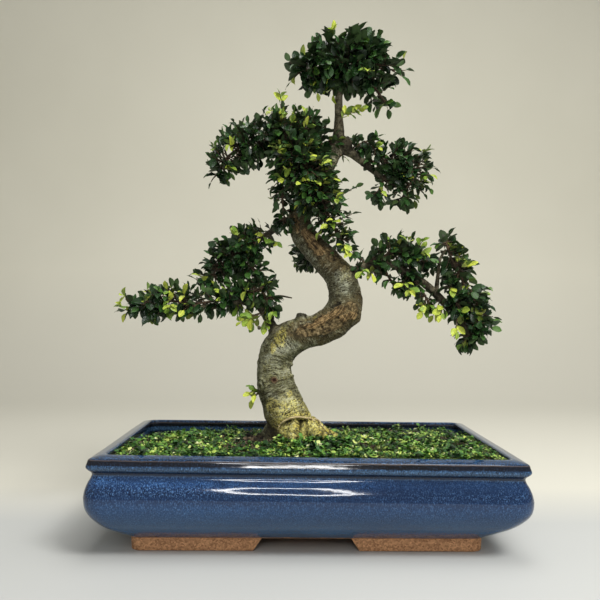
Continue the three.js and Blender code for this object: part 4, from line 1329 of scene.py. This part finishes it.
def grow_weeds(count, seed):
    draw = random.Random(seed)
    leaf = build_weed_leaf()
    bm = bmesh.new()
    rosettes = 0
    while rosettes < count:
        x, y = draw.uniform(-175, 175), draw.uniform(-103.5, 101)
        cover = moss_cover(x, y) * (1 - 0.85 * spot_share(LITTER_SPOTS, x, y))
        lime = spot_share(LIME_SPOTS, x, y)
        patch = noise.noise(Vector((x, y, 40)) / 13)
        thick = 0.42 + 1.5 * patch + 0.5 * smoothstep(-80, -100, y) + lime
        thick -= 0.25 * smoothstep(150, 171, abs(x)) + 0.3 * smoothstep(10, 60, y)
        if in_trunk(x, y) or draw.random() > cover * thick:
            continue
        rosettes += 1
        lush = spot_share(LUSH_SPOTS, x, y)
        big = draw.random() < 0.04 + 0.5 * lush
        tint = 0.34 + 0.55 * noise.noise(Vector((x, y, 90)) / 18) + draw.gauss(0, 0.26) - 0.1 * lush + 0.4 * lime
        if draw.random() < 0.04:
            tint = 1.15
        base = Vector((x, y, ground_height(x, y)))
        spin = draw.uniform(0, FULL_TURN)
        for i in range(draw.choice((4, 5, 6))):
            spin += GOLDEN_TURN
            size = draw.uniform(3.4, 5.2) if big else draw.uniform(1.5, 3)
            tilt = draw.uniform(-0.35, 0.85)
            rise = draw.uniform(1.5, 6) if big else draw.uniform(0.2, 3)
            place = Matrix.Translation((base + UP * rise) * MM) @ Matrix.Rotation(spin, 4, "Z")
            place = place @ Matrix.Rotation(-tilt, 4, "Y") @ Matrix.Rotation(draw.gauss(0, 0.3), 4, "X")
            add_leaf(bm, leaf, place, size, min(max(tint + draw.gauss(0, 0.12), 0), BRIGHTEST))
    return mesh_of(bm, "weeds")


def build_weed_material():
    graph = Finish("Weed leaf")
    stops = [(0, (0.005, 0.02, 0.006)), (0.23, (0.026, 0.1, 0.016)), (0.46, (0.13, 0.3, 0.04))]
    stops += [(0.77, (0.47, 0.57, 0.11)), (1, (0.66, 0.68, 0.4))]
    color = graph.ramp(graph.rise(graph.attribute("tone"), 0, BRIGHTEST), stops)
    spots = graph.noise(graph.place, 900, 2)
    color = graph.tint(color, graph.rise(spots, 0.6, 0.4), 0.35, (0.015, 0.035, 0.008))
    return graph.close(color, 0.5, spots, 0.2, 0.0004)


WEED = build_weed_material()
finish_piece("creeping_weeds", grow_weeds(WEED_COUNT, 7), [WEED])

# %% [markdown]
# Crumbs of bark, grit and lava rock lie on the bare soil and here and there on the moss. Each is a
# ball of few faces, squashed and dented, so no two are the same.


# %% Crumbs on the soil
def scatter_crumbs(count, seed):
    draw = random.Random(seed)
    bm = bmesh.new()
    made = 0
    while made < count:
        x, y = draw.uniform(-170, 170), draw.uniform(-100, 100)
        if in_trunk(x, y) or draw.random() > 1.05 - 0.9 * moss_cover(x, y):
            continue
        made += 1
        size = draw.choice((0.8, 1.2, 1.8, 2.4)) * draw.uniform(0.8, 1.2)
        scale = Vector((size, size * draw.uniform(0.5, 0.9), size * draw.uniform(0.4, 0.7)))
        height = ground_height(x, y) + 0.3 * size
        place = Matrix.Translation(Vector((x, y, height)) * MM)
        place = place @ Matrix.Rotation(draw.uniform(0, FULL_TURN), 4, "Z")
        place = place @ Matrix.Rotation(draw.gauss(0, 0.5), 4, "X")
        place = place @ Matrix.Diagonal((*(scale * MM), 1))
        ball = bmesh.ops.create_icosphere(bm, subdivisions=1, radius=1, matrix=place)["verts"]
        centre = Vector((x, y, height)) * MM
        for vert in ball:
            vert.co += (vert.co - centre) * draw.uniform(-0.3, 0.25)
    return mesh_of(bm, "crumbs")


def build_crumb_material():
    graph = Finish("Bark and grit crumbs")
    mask, height = grain(graph, 240)
    stops = [(0.2, (0.006, 0.005, 0.004)), (0.45, (0.026, 0.018, 0.011)), (0.65, (0.085, 0.056, 0.032))]
    return graph.close(graph.ramp(mask, [*stops, (0.85, (0.36, 0.3, 0.19))]), 0.85, height, 0.4, 0.0005)


CRUMB = build_crumb_material()
finish_piece("soil_crumbs", scatter_crumbs(CRUMB_COUNT, 5), [CRUMB], smooth=False)

# %% [markdown]
# ## Floor, light and camera
# A plain pale floor runs up into a wall far behind, so no edge shows. The main light comes from high
# at the right front: a small lamp for crisp shade and a wide one for soft shade, both kept out of
# reflections. Another hangs overhead. Two chains of narrow ones in front draw the lens shaped streak
# on the belly and rim of the pot. The camera stands a little above the rim and looks slightly up.


# %% Floor and lights
COVE_START = 1
COVE_RADIUS = 0.8
MIDDLE = (0, 0, 0.25)
WARM = (1, 0.985, 0.95)
STREAK_Y = -1.6
STREAK_POWER = 80
ROOM_COLOR = (0.82, 0.8, 0.74)
ROOM_STRENGTH = 0.38


def build_floor():
    bm = bmesh.new()
    bmesh.ops.create_grid(bm, x_segments=4, y_segments=60, size=0.5)
    for vert in bm.verts:
        along = (vert.co.y + 0.5) * 7 - 3
        turn = min(max((along - COVE_START) / COVE_RADIUS, 0), math.pi / 2)
        rest = max(along - COVE_START - COVE_RADIUS * math.pi / 2, 0)
        y = min(along, COVE_START) + COVE_RADIUS * math.sin(turn)
        vert.co = Vector((vert.co.x * 9, y, COVE_RADIUS * (1 - math.cos(turn)) + rest))
    floor = linked("floor", mesh_of(bm, "floor"))
    floor.data.polygons.foreach_set("use_smooth", [True] * len(floor.data.polygons))
    graph = Finish("Pale floor")
    parts, cloud = graph.split(graph.place), graph.noise(graph.place, 1.5)
    pale = graph.ramp(cloud, [(0.3, (0.4, 0.41, 0.405)), (0.7, (0.43, 0.44, 0.435))])
    wall = graph.ramp(cloud, [(0.3, (0.63, 0.615, 0.525)), (0.7, (0.67, 0.655, 0.565))])
    behind = graph.mix(graph.rise(parts["Y"], 0, 0.15), pale, (0.56, 0.55, 0.49))
    color = graph.mix(graph.rise(parts["Z"], 0, 0.4), behind, wall)
    floor.data.materials.append(graph.close(color, 0.7))


def add_lamp(name, place, aim, size, power, color=WARM, turn=0, mirrored=True):
    light = bpy.data.lights.new(name, "AREA")
    light.shape = "RECTANGLE"
    light.size, light.size_y = size
    light.energy = power
    light.color = color
    lamp = linked(name, light)
    lamp.location = place
    facing = (Vector(aim) - Vector(place)).to_track_quat("-Z", "Y").to_matrix()
    lamp.rotation_euler = (facing @ Matrix.Rotation(turn, 3, "Z")).to_euler()
    lamp.visible_camera = False
    lamp.visible_glossy = mirrored


def add_streak(start, end, thickness):
    (x, low), (far_x, high) = start, end
    size = (math.hypot(far_x - x, high - low), thickness)
    place = ((x + far_x) / 2, STREAK_Y, (low + high) / 2)
    turn = math.atan2(low - high, x - far_x)
    power = STREAK_POWER * size[0] * thickness
    add_lamp("streak_lamp", place, (place[0], -0.12, 0.07), size, power, (1, 1, 1), turn)


build_floor()
add_lamp("key_lamp", (0.8, -1, 1.5), MIDDLE, (0.6, 0.5), 30, mirrored=False)
add_lamp("soft_key_lamp", (0.85, -1.05, 1.55), MIDDLE, (1.5, 1.3), 14, mirrored=False)
add_lamp("top_lamp", (0.2, 0, 1.8), MIDDLE, (1.3, 1), 16, (1, 0.99, 0.96))
upper = [(-0.264, 0.94), (-0.15, 1.17), (0.08, 1.2), (0.193, 0.8)]
lower = [(-0.264, 0.92), (-0.15, 0.66), (0.08, 0.61), (0.193, 0.77)]
for line, thickness in ((upper, 0.055), (lower, 0.05)):
    for start, end in zip(line, line[1:]):
        add_streak(start, end, thickness)
world = bpy.data.worlds.new("Pale room")
world.use_nodes = True
world.node_tree.nodes["Background"].inputs["Color"].default_value = (*ROOM_COLOR, 1)
world.node_tree.nodes["Background"].inputs["Strength"].default_value = ROOM_STRENGTH
bpy.context.scene.world = world

# %% Camera
CAMERA_PLACE = Vector((-6.7, -698.1, 204.9)) * MM
CAMERA_PITCH = 0.0361
CAMERA_ROLL = -0.0041
FOCAL_LENGTH = 40.08
lens = bpy.data.cameras.new("camera")
lens.sensor_width = 36
lens.lens = FOCAL_LENGTH
lens.clip_start = 0.01
camera = linked("camera", lens)
camera.location = CAMERA_PLACE
tilt = Matrix.Rotation(math.pi / 2 + CAMERA_PITCH, 4, "X") @ Matrix.Rotation(-CAMERA_ROLL, 4, "Z")
camera.rotation_euler = tilt.to_euler()
bpy.context.scene.camera = camera
bpy.context.scene.view_settings.view_transform = "Standard"
